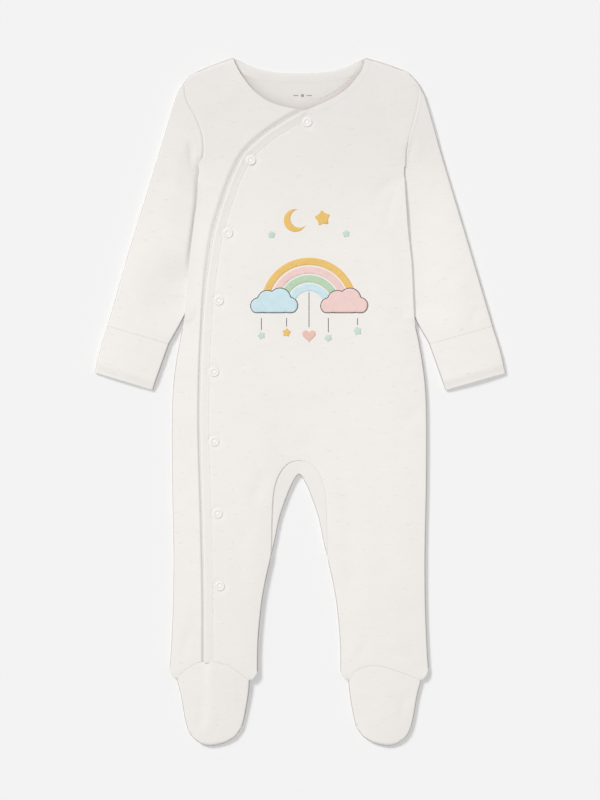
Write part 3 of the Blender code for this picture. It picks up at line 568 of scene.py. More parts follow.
CREASE_ENDS = (0.3, 0.4)  # shares of a crease's length in which it fades in and out
RIDGE, RIDGE_OUT = 0.45, 1.9  # the ridge beside a crease, to its depth and its half width
CREASES = [  # from x, y, to x, y, how far the middle bows to the left of that way, half width, depth
    (-87.7, -252.0, -91.0, -294.0, 4.0, 4.2, 0.43),
    (-55.9, -263.4, -46.9, -264.4, 0.6, 1.8, 0.28),
    (-97.5, 230.0, -89.8, 188.0, 1.0, 3.2, 1.15),
    (97.5, 232.0, 95.5, 186.0, -0.6, 3.8, 0.75),
    (-28.4, -58.0, -40.4, -98.0, -2.0, 6.0, 0.37),
    (31.6, -58.0, 43.6, -96.0, 2.0, 6.0, 0.31),
    (137.6, 118.0, 113.6, 96.0, 2.0, 6.0, 0.31),
    (-136.4, 126.0, -112.4, 100.0, -2.5, 6.0, 0.31),
    (-53.4, 38.2, -45.0, 34.4, 0.5, 1.5, 0.25),
    (-45.0, 34.4, -52.6, 30.0, 0.5, 1.5, 0.22),
    (38.6, -70.0, 44.6, -192.0, 4.0, 8.5, 0.34),
    (-45.4, -92.0, -52.4, -184.0, -3.0, 7.5, 0.28),
    (89.6, 197.0, 61.6, 170.0, -4.0, 5.0, 0.31),
    (92.1, 184.0, 72.6, 148.0, 3.0, 5.5, 0.22),
    (-86.4, 191.0, -75.4, 158.0, 2.0, 4.5, 0.25),
    (6.6, -46.0, 16.6, -8.0, -2.0, 7.0, 0.22),
    (-7.4, -46.0, -22.4, -12.0, 2.5, 7.5, 0.20),
    (109.6, -6.0, 79.6, -22.0, 2.0, 5.5, 0.24),
    (99.6, 72.0, 69.6, 62.0, -2.5, 4.5, 0.19),
    (102.6, 40.0, 85.6, 22.0, 2.0, 4.0, 0.17),
    (58.6, 288.0, 77.6, 258.0, 3.0, 5.5, 0.25),
    (-54.4, 288.0, -72.4, 262.0, -3.0, 5.0, 0.22),
    (125.6, 196.0, 107.6, 176.0, 2.5, 5.0, 0.31),
    (-120.4, 203.0, -102.4, 181.0, -2.0, 4.5, 0.31),
    (151.6, 128.0, 128.6, 112.0, 3.0, 5.0, 0.25),
    (-148.4, 136.0, -126.4, 116.0, -2.0, 4.5, 0.26),
    (162.6, 86.0, 148.6, 64.0, -2.0, 4.0, 0.25),
    (-156.4, 94.0, -139.4, 68.0, 2.5, 4.5, 0.26),
    (102.6, -224.0, 73.6, -217.0, 2.0, 3.5, 0.24),
    (-101.4, -226.0, -92.4, -196.0, 2.0, 4.0, 0.22),
    (48.6, -228.0, 61.6, -199.0, -2.5, 4.5, 0.24),
    (97.6, -252.0, 88.6, -286.0, -2.5, 4.2, 0.31),
    (54.6, -259.0, 68.6, -268.0, 1.5, 2.8, 0.22),
]


def creased(x, y):
    """How far the cloth dips along its creases, each a trough with a low ridge beside it."""
    dip = np.zeros(np.shape(x))
    for x0, y0, x1, y1, bow, half, depth in CREASES:
        reach = math.hypot(x1 - x0, y1 - y0)
        ex, ey = (x1 - x0) / reach, (y1 - y0) / reach
        t = ((x - x0) * ex + (y - y0) * ey) / reach
        off = (y - y0) * ex - (x - x0) * ey - bow * 4 * t * (1 - t)
        taper = smooth(t / CREASE_ENDS[0]) * smooth((1 - t) / CREASE_ENDS[1])
        trough = np.exp(-((off / half) ** 2))
        dip += depth * taper * (trough - RIDGE * np.exp(-(((off - RIDGE_OUT * half) / half) ** 2)))
    return dip


def waves(x, y):
    """The slow unevenness of washed cloth that lies loose."""
    slow = np.sin(x / 15.0 + 1.3) * np.sin(y / 27.0 + 0.4)
    slow += 0.7 * np.sin((x + y) / 21.0) * np.sin((y - x) / 33.0 + 2.0)
    return 0.10 * slow + 0.03 * np.sin(x / 4.1 + 2.2 * np.sin(y / 19.0)) * np.sin(y / 7.3 + x / 31.0)


BODY_EDGES = [
    spaced(mirrored(line, side), count)
    for side in (-1, 1)
    for line, count in (
        (SHOULDER[side], 6), (SLEEVE_OUTER[side], 16), (BODY_SIDE[side], 44), (INNER_LEG, 30),
        (FOOT_OUTER, 8), (FOOT_INNER, 8), (TOES, 8),
    )
]


def vamp(side):
    """The stretch of a leg's hem that the foot's upper is sewn to."""
    line, (inner, outer) = HEM[side], HEEL_SPAN
    return mirrored(spaced(line[(line[:, 0] > inner - 0.1) & (line[:, 0] < outer + 0.1)], 24), side)


SEAMS = [  # lines in one kind of shallow groove, its depth, its half width and how far in it starts
    ([spaced(ARMHOLE[-1], 20)], 0.25, 1.1, 14.0),
    ([spaced(ARMHOLE[1], 20)], 0.12, 1.2, 9.0),
    ([spaced(GUSSET_SEAM, 16), spaced(mirrored(GUSSET_SEAM), 16)], 0.06, 1.3, 4.0),
    ([vamp(-1)], 0.10, 1.9, 4.0),
    ([vamp(1)], 0.05, 1.5, 4.0),
]
SEWN_LINES = [line for seam in SEAMS for line in seam[0]]


def rise(edges, x, y):
    """How far the upper cloth stands off the lower, with its creases and the grooves of its seams."""
    away = distance(edges, x, y)
    roll, turn = np.clip(away / EDGE_ROLL, 0, 1), np.clip(away / TURN_WIDE, 0, 1)
    full = FULLNESS * (1 - (1 - roll) ** 2) + EDGE_TURN * np.sqrt(1 - (1 - turn) ** 2)
    full += (waves(x, y) - creased(x, y)) * smooth(away / EDGE_CALM)
    for lines, depth, half, start in SEAMS:
        full -= depth * np.exp(-((distance(lines, x, y) / half) ** 2)) * smooth(away / start)
    return np.maximum(full, 0.0)


def sewn_bulge(x, y):
    """An edge is nearly square where it is sewn to the next piece, and round where it is free."""
    return SEWN_BULGE + (FREE_BULGE - SEWN_BULGE) * smooth(distance(SEWN_LINES, x, y) / 1.5 - 0.2)


def front_top(x, y):
    """Over a tucked sleeve the front is carried up only as far as its own fullness falls short."""
    lift = sleeve_lift(x, y)
    return 2 * CLOTH + LAYER_GAP + lift + np.maximum(rise(BODY_EDGES, x, y) - CARRIED_SHARE * lift, 0.0)


def under_top(x, y):
    """The under front sinks along the wrapped edge that presses on it, widest across the chest."""
    away = distance([WRAP_EDGE[::5]], x, y)
    chest = smooth((y - CHEST) / CHEST_FADE)
    deep, wide = (least + more * chest for least, more in zip(PRESS, CHEST_PRESS))
    outside = x < read(WRAP_EDGE, y)
    share = np.where(outside, smooth((away - 0.3) / wide), 0.5 * smooth(away / 12.0))
    return front_top(x, y) - deep * (1 - share)


def hemmed(rows, side):
    wanted = read(HEM[side], np.abs(rows[-1, :, 0]), 0)
    return bent_to(rows[::-1], wanted, 44, END_BEND)[::-1]


def under_grids():
    outer = side_rail(-1)
    top = UNDERLAP_EDGE[UNDERLAP_EDGE[:, 1] > ARMPIT - CORNER_DROP]
    inner = spaced(np.vstack([UNDER_NECK[:-1], top]), ARM_ROWS)
    heights = outer[ARM_ROWS + 1 :, 1]
    low = heights - CORNER_DROP * (1 - smooth((ARMPIT - heights) / 60.0))
    inner = np.vstack([inner, np.column_stack([read(UNDERLAP_EDGE, low), low])])
    tried = rows_between(outer, inner, np.linspace(0, 1, 200))
    outside = tried[..., 0] < read(WRAP_EDGE, tried[..., 1])
    crossing = np.clip(outside.mean(1), 0.3, 0.93)[:, None]
    shares = np.hstack([crossing * graded(44, 0.8), crossing + (1 - crossing) * graded(12, 0.8)[1:]])
    rows = rows_between(outer, inner, shares[..., None])
    return [hemmed(bent_to(rows, shoulder_height(rows[0, :, 0]), ARM_ROWS, SHOULDER_BEND), -1)]


def neck_shade():
    """Painted shade on the back's inside where it shows in the neck, strongest close to the fronts."""
    count = len(back.data.vertices)
    places = np.empty(3 * count, np.float32)
    back.data.vertices.foreach_get("co", places)
    x, y, _ = (places.reshape(-1, 3) / MM).T
    away = distance([spaced(UNDER_NECK, 40), spaced(mirrored(UNDER_NECK), 40)], x, y)
    shade = NECK_SHADE + NECK_DEEPER * np.exp(-((away / SHADE_FADE) ** 1.2))
    inside = (np.abs(x) < 60.0) & (y > 240.0)
    stored = back.data.attributes.new("shade", "FLOAT", "POINT")
    stored.data.foreach_set("value", np.where(inside, shade, 0.0).astype(np.float32))


neck_shade()
under_plan = under_grids()
under = cloth("under_front_panel", under_plan, under_top, body_cotton, bulge=sewn_bulge)
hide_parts("front_under")
cut_area(under_plan)


# Main front
# The wide front, from the right shoulder across the chest to the wrapped edge on the left, with the whole
# right leg and the inner half of the left one. It lies over the under front and steps down beyond it.

LAP_CLEAR = 0.55  # air between the two fronts
LAP_MARGIN, LAP_FADE = 2.5, 85.0  # past the under front's edge it comes down over this stretch
PUCKER, SNAP_PUCKER, PUCKER_HALF = 0.13, 0.42, 1.6  # depths beside the binding and round a snap, half width
BINDING_WIDE, BINDING_START, BINDING_TAPER = 8.0, 0.8, 17.0
BOUND_SHARE = 0.44  # how much of the binding's width lies beyond the panel's own edge
NECK_HEM, NECK_HEM_WIDE = 0.12, 4.4  # the neckline's turned edge is thicker by this, and this wide
SNAP_PLACES = [  # how far down the wrapped edge each centre lies, and how far in from it
    (9.6, 10.2), (74.0, 8.0), (144.1, 11.9), (204.9, 12.6),
    (269.4, 12.0), (329.8, 12.6), (393.7, 13.5), (456.7, 14.1),
]
MAIN_NECK = curve([
    NECK_CORNER, (54.9, 290.0), (49.2, 281.6), (42.2, 273.8), (33.2, 267.4), (23.0, 262.0), (12.9, 257.9),
])
WRAP_STEP = np.linalg.norm(np.diff(WRAP_EDGE, axis=0), axis=1).mean()
SNAPS = np.array([moved_in(WRAP_EDGE, inset)[round(along / WRAP_STEP)] for along, inset in SNAP_PLACES])


def binding_width():
    run = np.arange(len(WRAP_EDGE)) * WRAP_STEP
    return BINDING_START + (BINDING_WIDE - BINDING_START) * smooth(run / BINDING_TAPER)


def lap_step(x, y):
    """How much higher the wide front lies for the under front beneath it."""
    past = distance([spaced(UNDERLAP_EDGE, 60)], x, y) * np.sign(x - read(UNDERLAP_EDGE, y))
    return (CLOTH + LAP_CLEAR) * (1 - smooth((past - LAP_MARGIN) / LAP_FADE))


def main_top(x, y):
    """A layer above the under front, down again beyond it, puckered by the snaps and the binding."""
    sewing = distance([WRAP_EDGE[12::5]], x, y) - BINDING_WIDE + 0.3
    pucker = PUCKER * np.exp(-((sewing / PUCKER_HALF) ** 2))
    for sx, sy in SNAPS:
        rim = np.hypot(x - sx, y - sy) - 5.3
        pucker = np.maximum(pucker, SNAP_PUCKER * np.exp(-((rim / PUCKER_HALF) ** 2)))
    neck = NECK_HEM * (1 - smooth((distance([MAIN_NECK[::4]], x, y) - NECK_HEM_WIDE) / 1.0))
    return front_top(x, y) + lap_step(x, y) - pucker + neck


def main_grids():
    right = side_rail(1)
    split = ARM_ROWS + TORSO_ROWS
    bound = moved_in(WRAP_EDGE, BOUND_SHARE * binding_width() + SEWN_BULGE)
    bound = bound[np.append(True, np.diff(bound[:, 1]) < 0)]
    upper = spaced(np.vstack([MAIN_NECK[:-4], bound[bound[:, 1] > ARMPIT]]), ARM_ROWS)
    heights = np.append(right[ARM_ROWS + 1 : split + 1, 1], np.linspace(PARTING, -227.4, LEG_ROWS + 1)[1:])
    left = np.vstack([upper, np.column_stack([read(bound, heights), heights])])
    parting = -left[split, 0] / (right[split, 0] - left[split, 0])
    shares = np.append(parting * graded(54, 0.7), parting + (1 - parting) * graded(66, 0.7)[1:])
    torso = rows_between(left[: split + 1], right[: split + 1], shares)
    torso = bent_to(torso, shoulder_height(torso[0, :, 0]), ARM_ROWS, SHOULDER_BEND)
    inner_half = rows_between(left[split:], inner_rail(-1), graded(54, 0.7))
    right_leg = rows_between(inner_rail(1), right[split:], graded(66, 0.7))
    return [torso, hemmed(inner_half, -1), hemmed(right_leg, 1)]


main_plan = main_grids()
main = cloth("main_front_panel", main_plan, main_top, body_cotton, bulge=sewn_bulge)
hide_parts("front_main")


# Gusset
# A small lens of the same interlock, let in round the crotch. It is sewn to the fronts and the back along
# its outer curve and folds over between the legs, so half of it shows and half lies beneath.

FOLD = 1.35  # radius of a fold in plan
GUSSET_HALF = 64  # stations on each side of the middle
GUSSET_END = -134.0
GUSSET_CLOTH = 0.9


def folded_arc(start, across, radius, top, count=9):
    """Points round a fold, from the upper layer's edge to the lower one's."""
    turn = np.linspace(0, math.pi, count)
    out = radius[:, None] * np.sin(turn)
    plan = start[:, None] + across[:, None] * out[..., None]
    height = top[:, None] / 2 * (1 + np.cos(turn))
    return np.concatenate([plan, height[..., None]], axis=2)


def gusset_grid():
    seam = GUSSET_SEAM[GUSSET_SEAM[:, 1] > GUSSET_END]
    leg = INNER_LEG[INNER_LEG[:, 1] > GUSSET_END]
    seam, leg = spaced(seam, GUSSET_HALF), spaced(leg, GUSSET_HALF)
    seam = np.vstack([mirrored(seam[:0:-1]), seam])
    leg = np.vstack([mirrored(leg[:0:-1]), leg])
    seam = moved_in(seam, -(SEAM + SEWN_BULGE))
    across = leg - seam
    width = np.linalg.norm(across, axis=1)
    across /= width[:, None]
    radius = np.minimum(FOLD, 0.7 * width)
    shares = np.linspace(0, 1, 11)
    inner = seam[:, None] + across[:, None] * ((width - radius)[:, None] * shares)[..., None]
    top = front_top(inner[..., 0], inner[..., 1])
    upper = np.concatenate([inner, top[..., None]], axis=2)
    fold = folded_arc(inner[:, -1], across, radius, top[:, -1])
    lower = np.concatenate([inner[:, ::-1], np.zeros((*inner.shape[:2], 1))], axis=2)
    return np.concatenate([upper[:, :-1], fold, lower[:, 1:]], axis=1)


points, faces = woven(gusset_grid())
shell = cloth_shell(points, faces[:, ::-1], GUSSET_CLOTH, SEWN_BULGE)
# Painted shade: the gusset's cream is a little darker than the body's.
gusset_shaded_tones = (0.858, 0.825, 0.794, 1.0), (0.838, 0.803, 0.770, 1.0)
gusset = piece_of("crotch_gusset", *shell, interlock("gusset_cotton", math.pi / 2, *gusset_shaded_tones))
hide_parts("gusset")


# Sleeves
# Each is one piece of interlock closed under the arm into a tube, pressed flat and set into its armhole.
# Below the armpit it is tucked under the body, so the fold on that side lies hidden.

SLEEVE_ROWS, SLEEVE_COLUMNS = 160, 46
CUFF_START = SEAM + 2 * SEWN_BULGE  # the cuff begins this far below the sleeve's end
CUFF_OUTER = {
    -1: curve([(167.8, 66.5 - CUFF_START), (174.4, 45.0), (179.0, 25.8)]),
    1: curve([(169.5, 66.5 - CUFF_START), (176.2, 45.0), (180.8, 25.4)]),
}
CUFF_INNER = curve([(113.8, 50.6 - CUFF_START), (120.6, 31.5), (128.0, 10.4)])
SLEEVE_EDGES = [
    spaced(mirrored(line, side), count)
    for side in (-1, 1)
    for line, count in (
        (SHOULDER[side], 6), (SLEEVE_OUTER[side], 16), (SLEEVE_INNER[side], 20), (CUFF_OUTER[side], 6),
        (CUFF_INNER, 6),
    )
]
ARM_ANGLE = math.radians(13.5)
PIT_LOW, PIT_OUT = 100.0, 35.0  # the armpits' shape begins at this height, over this stretch
PIT_CREASE = [132.0, 158.0, 175.0, 200.0], [4.6, 4.0, 4.8, 5.4]  # heights, and the crease's widths
FULL_OUT = {-1: 55.0, 1: 50.0}  # how far out from the body each sleeve reaches its full height
PRESSED = 3.5  # the right one stays flat for this far first
FREE_ABOVE = {-1: (217.0, 17.0), 1: (238.0, 42.0)}  # the body doesn't press on it above this, and the fade
FREE_BELOW = (58.0, 30.0)  # nor below this height, and the fade
ALLOWANCE = {-1: 0.30, 1: 0.20}  # height of the ridge that the seam allowance makes beside the armhole
ALLOWANCE_IN, ALLOWANCE_HALF = 1.7, 1.1  # its distance from the seam and its half width
ALLOWANCE_END = (207.0, 8.0)  # the height at which it begins, and the fade


def sleeve_top(x, y):
    """Pressed flat where the body lies on it, then rising, by the left arm out of a deep crease."""
    past = np.abs(x) - either(BODY_SIDE, x, np.minimum(y, ARMPIT))
    pit = smooth((y - PIT_LOW) / PIT_OUT)
    creased_in = 1 - (1 - np.clip(past / np.interp(y, *PIT_CREASE), 0, 1)) ** 2
    left = pit * creased_in + (1 - pit) * smooth(past / FULL_OUT[-1])
    free = np.where(x < 0, left, smooth((past - PRESSED * pit) / FULL_OUT[1]))
    released = [smooth((high - y) / fade) for high, fade in (FREE_ABOVE[-1], FREE_ABOVE[1])]
    free = 1 - (1 - free) * smooth((y - FREE_BELOW[0]) / FREE_BELOW[1]) * np.where(x < 0, *released)
    turned = np.where(x < 0, distance([ARMHOLE[-1]], x, y), distance([ARMHOLE[1]], x, y))
    ridge = np.where(x < 0, ALLOWANCE[-1], ALLOWANCE[1])
    ridge = ridge * np.exp(-(((turned - ALLOWANCE_IN) / ALLOWANCE_HALF) ** 2))
    ridge = ridge * smooth((y - ALLOWANCE_END[0]) / ALLOWANCE_END[1])
    return 2 * CLOTH + LAYER_GAP + rise(SLEEVE_EDGES, x, y) * free + ridge


def flat_tube(lefts, rights, columns, top, bend=None):
    """A tube pressed flat: rows of points across its upper side, round one fold, back beneath and round."""
    across = rights - lefts
    width = np.linalg.norm(across, axis=1)
    across /= width[:, None]
    plan = rows_between(lefts + across * FOLD, rights - across * FOLD, graded(columns, 0.6))
    if bend:
        plan = bend(plan)
    heights = top(plan[..., 0], plan[..., 1])
    upper = np.concatenate([plan, heights[..., None]], axis=2)
    radius = np.full(len(plan), FOLD)
    right = folded_arc(plan[:, -1], across, radius, heights[:, -1])
    left = folded_arc(plan[:, 0], -across, radius, heights[:, 0])[:, ::-1]
    lower = np.concatenate([plan[:, ::-1], np.zeros((*plan.shape[:2], 1))], axis=2)
    parts = upper, right[:, 1:-1], lower, left[:, 1:-1]
    ring = np.concatenate(parts, axis=1)
    layer = np.tile(np.repeat([1, 0, -1, 0], [part.shape[1] for part in parts]), len(ring))
    return *woven(ring, closed=True), layer


def left_first(side, outer, inner, count):
    """The two edges of a piece of one half, mirrored to that side and evenly spaced, the left one first."""
    edges = mirrored(spaced(outer, count), side), mirrored(spaced(inner, count), side)
    return edges if side < 0 else edges[::-1]


def sleeve(side, name, node, material):
    lefts, rights = left_first(side, SLEEVE_OUTER[side], SLEEVE_INNER[side], SLEEVE_ROWS)

    def set_in(plan):
        wanted = read(ARMHOLE[side], plan[0, :, 1]) + side * (SEAM + 2 * SEWN_BULGE)
        sideways = wanted - plan[0, :, 0]
        plan[:36, :, 0] += sideways * ((1 - np.arange(36) / 36) ** 2.2)[:, None]
        return plan

    points, faces, layer = flat_tube(lefts, rights, SLEEVE_COLUMNS, sleeve_top, set_in)
    piece = piece_of(name, *cloth_shell(points, faces, CLOTH, SEWN_BULGE, layer), material)
    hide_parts(node)
    return piece


right_cotton = interlock("right_sleeve_cotton", -ARM_ANGLE)
left_cotton = interlock("left_sleeve_cotton", ARM_ANGLE)
sleeve(-1, "sleeve_left_cloth", "sleeve_left", left_cotton)
sleeve(1, "sleeve_right_cloth", "sleeve_right", right_cotton)


# Cuffs
# A band of the same interlock, folded over so that it is thicker than one layer. It is sewn round each
# sleeve's end and left open at the hand.

CUFF_ROWS = 26
CUFF_PROUD, CUFF_CLOTH = 0.08, 1.4
CUFF_THINS, CUFF_THINNING = 1.3, 9.0  # the open end lies lower by this, over this stretch


def cuff(side, name, node, material):
    lefts, rights = left_first(side, CUFF_OUTER[side], CUFF_INNER, CUFF_ROWS)

    def proud(x, y):
        mouth = distance([np.vstack([lefts[-1], rights[-1]])], x, y)
        return sleeve_top(x, y) + CUFF_PROUD - CUFF_THINS * (1 - smooth(mouth / CUFF_THINNING))

    points, faces, layer = flat_tube(lefts, rights, 36, proud)
    piece = piece_of(name, *cloth_shell(points, faces, CUFF_CLOTH, SEWN_BULGE, layer), material)
    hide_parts(node)
    return piece


cuff(-1, "cuff_left_cloth", "cuff_left", left_cotton)
cuff(1, "cuff_right_cloth", "cuff_right", right_cotton)


# Feet
# Each foot is an upper, whose arched edge is sewn to the leg's hem, over a sole that is sewn to the back
# at the heel. Both are single layers of the same interlock.

FOOT_ROWS, FOOT_COLUMNS = 40, 36
VAMP_FALL = 42.0  # the stretch in which the upper comes down from the lapped fronts' height


def foot_rows(side):
    rows = rows_between(*left_first(side, FOOT_OUTER, FOOT_INNER, FOOT_ROWS), graded(FOOT_COLUMNS, 0.6))
    return bent_to(rows[::-1], read(TOES, np.abs(rows[-1, :, 0]), 0), 20, 2.2)[::-1]


def upper_top(x, y):
    """Level with the hem that it is sewn to, as high as the lapped fronts there, and lower at the toes."""
    hem = either(HEM, x, np.abs(x), 0)
    covered = smooth((x - read(WRAP_EDGE, y)) / 6.0)
    return front_top(x, y) + lap_step(x, y) * covered * smooth((y - hem + VAMP_FALL) / VAMP_FALL)


def sole_top(x, y):
    return np.full(np.shape(x), CLOTH)


for side, word in ((-1, "left"), (1, "right")):
    plan = foot_rows(side)
    hem = read(HEM[side], np.abs(plan[0, :, 0]), 0) - SEAM - 2 * SEWN_BULGE
    upper_plan = bent_to(plan.copy(), hem, 24, END_BEND)
    upper = cloth(f"foot_{word}_upper_cloth", [upper_plan], upper_top, body_cotton, bulge=sewn_bulge)
    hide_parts(f"foot_upper_{word}")
    cut_area([upper_plan])
    heel = np.full(plan.shape[1], HEEL - SEAM - 2 * FREE_BULGE)
    sole_plan = bent_to(plan.copy(), heel, 12, 1.0)
    sole = cloth(f"foot_{word}_sole_cloth", [sole_plan], sole_top, body_cotton)
    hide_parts(f"foot_sole_{word}")
    cut_area([sole_plan])


# Wrap binding
# A strip of the same cotton folded over the wide front's free edge, from the neckline down to the ankle.
# Its outer fold is a soft roll, and its upper layer thins towards the row of stitches that holds it.

BINDING_SECTION = [  # share of the width in from the fold, height above the wide front
    (0.00, -0.70), (0.01, -0.30), (0.035, 0.08), (0.08, 0.40), (0.14, 0.60), (0.21, 0.66), (0.30, 0.60),
    (0.42, 0.46), (0.56, 0.31), (0.70, 0.20), (0.84, 0.13), (0.95, 0.10), (0.99, 0.06), (1.00, 0.00),
    (0.985, -0.05), (0.70, -0.03), (0.48, -0.03), (0.44, -0.10), (0.43, -1.05), (0.38, -1.30),
    (0.10, -1.30), (0.025, -1.10),
]
BINDING_ROWS = 580
LOW_CROWN, CHEST_CROWN = 0.55, 0.45  # how high the roll stands below the chest, and how much more on it
CROWN_FROM, CROWN_OVER = 40.0, 90.0


def lofted(rings):
    """A closed body through a row of rings, with a fan of faces over each end."""
    rows, count = rings.shape[:2]
    points, sides = woven(rings, closed=True)
    number = np.arange(count)
    beside = np.roll(number, -1)
    first, last = np.full(count, rows * count), np.full(count, rows * count + 1)
    start = np.stack([number, beside, first, first], -1)
    end = np.stack([beside + (rows - 1) * count, number + (rows - 1) * count, last, last], -1)
    return np.vstack([points, rings[0].mean(0), rings[-1].mean(0)]), np.vstack([sides, start, end])


def strip_rings(line, width, top, section, crown):
    """Sections of a strip that lies along a line, to its left. The crown scales what is above top."""
    share, height = np.array(section).T
    rings = np.stack([moved_in(line, width * s) for s in share], axis=1)
    heights = top(rings[..., 0], rings[..., 1]) + np.where(height > 0, crown[:, None], 1.0) * height
    return np.concatenate([rings, heights[..., None]], axis=2)


binding_cotton = interlock("binding_cotton", marl=0.5)
binding_line = spaced(WRAP_EDGE, BINDING_ROWS)
width = np.interp(np.linspace(0, 1, BINDING_ROWS + 1), np.linspace(0, 1, len(WRAP_EDGE)), binding_width())
high = smooth((binding_line[:, 1] - CROWN_FROM) / CROWN_OVER)
crown = width / BINDING_WIDE * (LOW_CROWN + CHEST_CROWN * high)
rings = strip_rings(binding_line, width, main_top, BINDING_SECTION, crown)
binding = piece_of("wrap_binding_strip", *lofted(rings), binding_cotton)
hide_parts("wrap_binding")
cut_area(main_plan)


# Snaps
# Eight enamelled ring caps, each clenched through the wide front's edge above a stud in the under front.
# A cap is a rounded ring round a low disc, pressed a little into the cloth.

SNAP_SIZES = {
    "Ring Radius": 3.22, "Half Width": 1.08, "Half Height": 0.40, "Disc Radius": 2.35, "Disc Height": 0.30,
}
SNAP_SEAT, SEAT_RADIUS = 0.12, 4.3  # middle of the ring above the cloth, taken round it at this radius
BINDING_LIFT = 0.35  # one cap sits half on the binding
RING_ENAMEL, DISC_ENAMEL = (0.800, 0.780, 0.748, 1.0), (0.755, 0.768, 0.726, 1.0)


def enamel():
    material, shader, places = new_finish("snap_enamel", 0.38, specular=0.5)
    disc = places.node("ShaderNodeAttribute", {}, output="Fac", attribute_name="middle")
    colour = disc.mixed(RING_ENAMEL, DISC_ENAMEL)
    worn = (places.grain(1.6) * 0.5).mixed(colour, (0.86, 0.85, 0.83, 1.0))
    worn.into(shader, "Base Color")
    (places.grain(0.9) * 0.16 + 0.30).into(shader, "Roughness")
    places.grain(0.7).bump(0.12, 0.08).into(shader, "Normal")
    return material


def new_tree(name, sizes):
    """A Geometry Nodes tree with an input for its mesh and one for each size, all as threads by name."""
    tree = bpy.data.node_groups.new(name, "GeometryNodeTree")
    tree.interface.new_socket("Geometry", in_out="OUTPUT", socket_type="NodeSocketGeometry")
    tree.interface.new_socket("Geometry", in_out="INPUT", socket_type="NodeSocketGeometry")
    for label, size in sizes.items():
        kind = "NodeSocketInt" if isinstance(size, int) else "NodeSocketFloat"
        tree.interface.new_socket(label, in_out="INPUT", socket_type=kind)
    start = tree.nodes.new("NodeGroupInput")
    return {socket.name: Thread(tree, socket) for socket in start.outputs if socket.name}


def finished(made, material):
    """Ends a tree: its instances are made real and take their material."""
    real = made.node("GeometryNodeRealizeInstances", {"Geometry": made})
    real = made.node("GeometryNodeSetMaterial", {"Geometry": real, "Material": material})
    end = made.tree.nodes.new("NodeGroupOutput")
    made.tree.links.new(real.socket, end.inputs[0])


def grown(name, tree, sizes, points, edges):
    """Runs a tree on points or paths given in millimetres, and keeps the result as a plain mesh."""
    mesh = bpy.data.meshes.new(name)
    mesh.from_pydata((points * MM).tolist(), edges, [])
    piece = placed(name, mesh)
    modifier = piece.modifiers.new(tree.name, "NODES")
    modifier.node_group = tree
    for item in tree.interface.items_tree:
        if item.in_out == "INPUT" and item.name in sizes:
            size = sizes[item.name]
            modifier[item.identifier] = size if isinstance(size, int) else size * MM
    ready = piece.evaluated_get(bpy.context.evaluated_depsgraph_get())
    made = bpy.data.meshes.new_from_object(ready)
    piece.modifiers.remove(modifier)
    piece.data = made
    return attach(piece, "root")


def ring_snap_tree():
    given = new_tree("ring_snap", SNAP_SIZES)
    start = given["Geometry"]

    def sized(geometry, x, y, z, lift=0.0):
        scale = start.node("ShaderNodeCombineXYZ", {"X": x, "Y": y, "Z": z})
        return start.node(
            "GeometryNodeTransform", {"Geometry": geometry, "Scale": scale, "Translation": (0, 0, lift)},
        )

    circle = "GeometryNodeCurvePrimitiveCircle"
    ring = start.node(circle, {"Resolution": 40, "Radius": given["Ring Radius"]})
    ring = start.node("GeometryNodeSetCurveNormal", {"Curve": ring}, mode="Z_UP")
    section = start.node(circle, {"Resolution": 14, "Radius": 1.0})
    section = sized(section, given["Half Width"], given["Half Height"], 1.0)
    ring = start.node("GeometryNodeCurveToMesh", {"Curve": ring, "Profile Curve": section})
    disc = start.node("GeometryNodeMeshUVSphere", {"Segments": 32, "Rings": 10, "Radius": 1.0})
    disc = sized(disc, given["Disc Radius"], given["Disc Radius"], given["Disc Height"])
    disc = start.node("GeometryNodeStoreNamedAttribute", {"Geometry": disc, "Name": "middle", "Value": 1.0})
    cap = start.node("GeometryNodeJoinGeometry", {"Geometry": [ring, disc]})
    cap = start.node("GeometryNodeSetShadeSmooth", {"Geometry": cap})
    return start.node("GeometryNodeInstanceOnPoints", {"Points": start, "Instance": cap})


caps = ring_snap_tree()
finished(caps, enamel())
turn = np.arange(8) * math.pi / 4
around = SNAPS[:, None] + SEAT_RADIUS * np.stack([np.cos(turn), np.sin(turn)], -1)
seat = main_top(around[..., 0], around[..., 1]).mean(1) + SNAP_SEAT
seat += BINDING_LIFT * (np.array([inset for _, inset in SNAP_PLACES]) < BINDING_WIDE + 0.5)
snaps = grown("ring_snaps", caps.tree, SNAP_SIZES, np.column_stack([SNAPS, seat]), [])
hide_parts(*[f"snap_{number}" for number in range(1, 9)])


# Chest print
# Soft water-based inks, each screened on in its own colour: an arch of four bands that stands on two
# clouds, with a moon and stars above and a few hanging charms below. The inks are thin and a little worn.

PRINT_X, ARCH_Y = 8.6, 84.0
BAND_WIDE, BAND_STEP, ARCH_OUTER = 6.4, 7.6, 42.0
LINE_WIDE = 0.55
FILM, FILM_BULGE = 0.15, 0.02  # how thick a film of ink is, and how far its edge rounds out
FILM_STEP, OUTLINE_STEP = 1.6, 1.1


def softened(ring, rounds=2):
    """A closed outline with its corners cut twice."""
    for _ in range(rounds):
        ahead = np.roll(ring, -1, axis=0)
        ring = np.stack([0.75 * ring + 0.25 * ahead, 0.25 * ring + 0.75 * ahead], 1).reshape(-1, 2)
    return ring


def arc(centre, radius, start, stop, count=48):
    turn = np.radians(np.linspace(start, stop, count))
    return np.array(centre) + radius * np.column_stack([np.cos(turn), np.sin(turn)])


def band(outer):
    centre = (PRINT_X, ARCH_Y)
    return softened(np.vstack([arc(centre, outer, -4, 184), arc(centre, outer - BAND_WIDE, 184, -4)]), 1)


def star(centre, radius, turned=0.0):
    turn = np.radians(90 + turned + 36 * np.arange(10))
    reach = radius * np.where(np.arange(10) % 2, 0.56, 1.0)
    return softened(np.array(centre) + reach[:, None] * np.column_stack([np.cos(turn), np.sin(turn)]), 3)


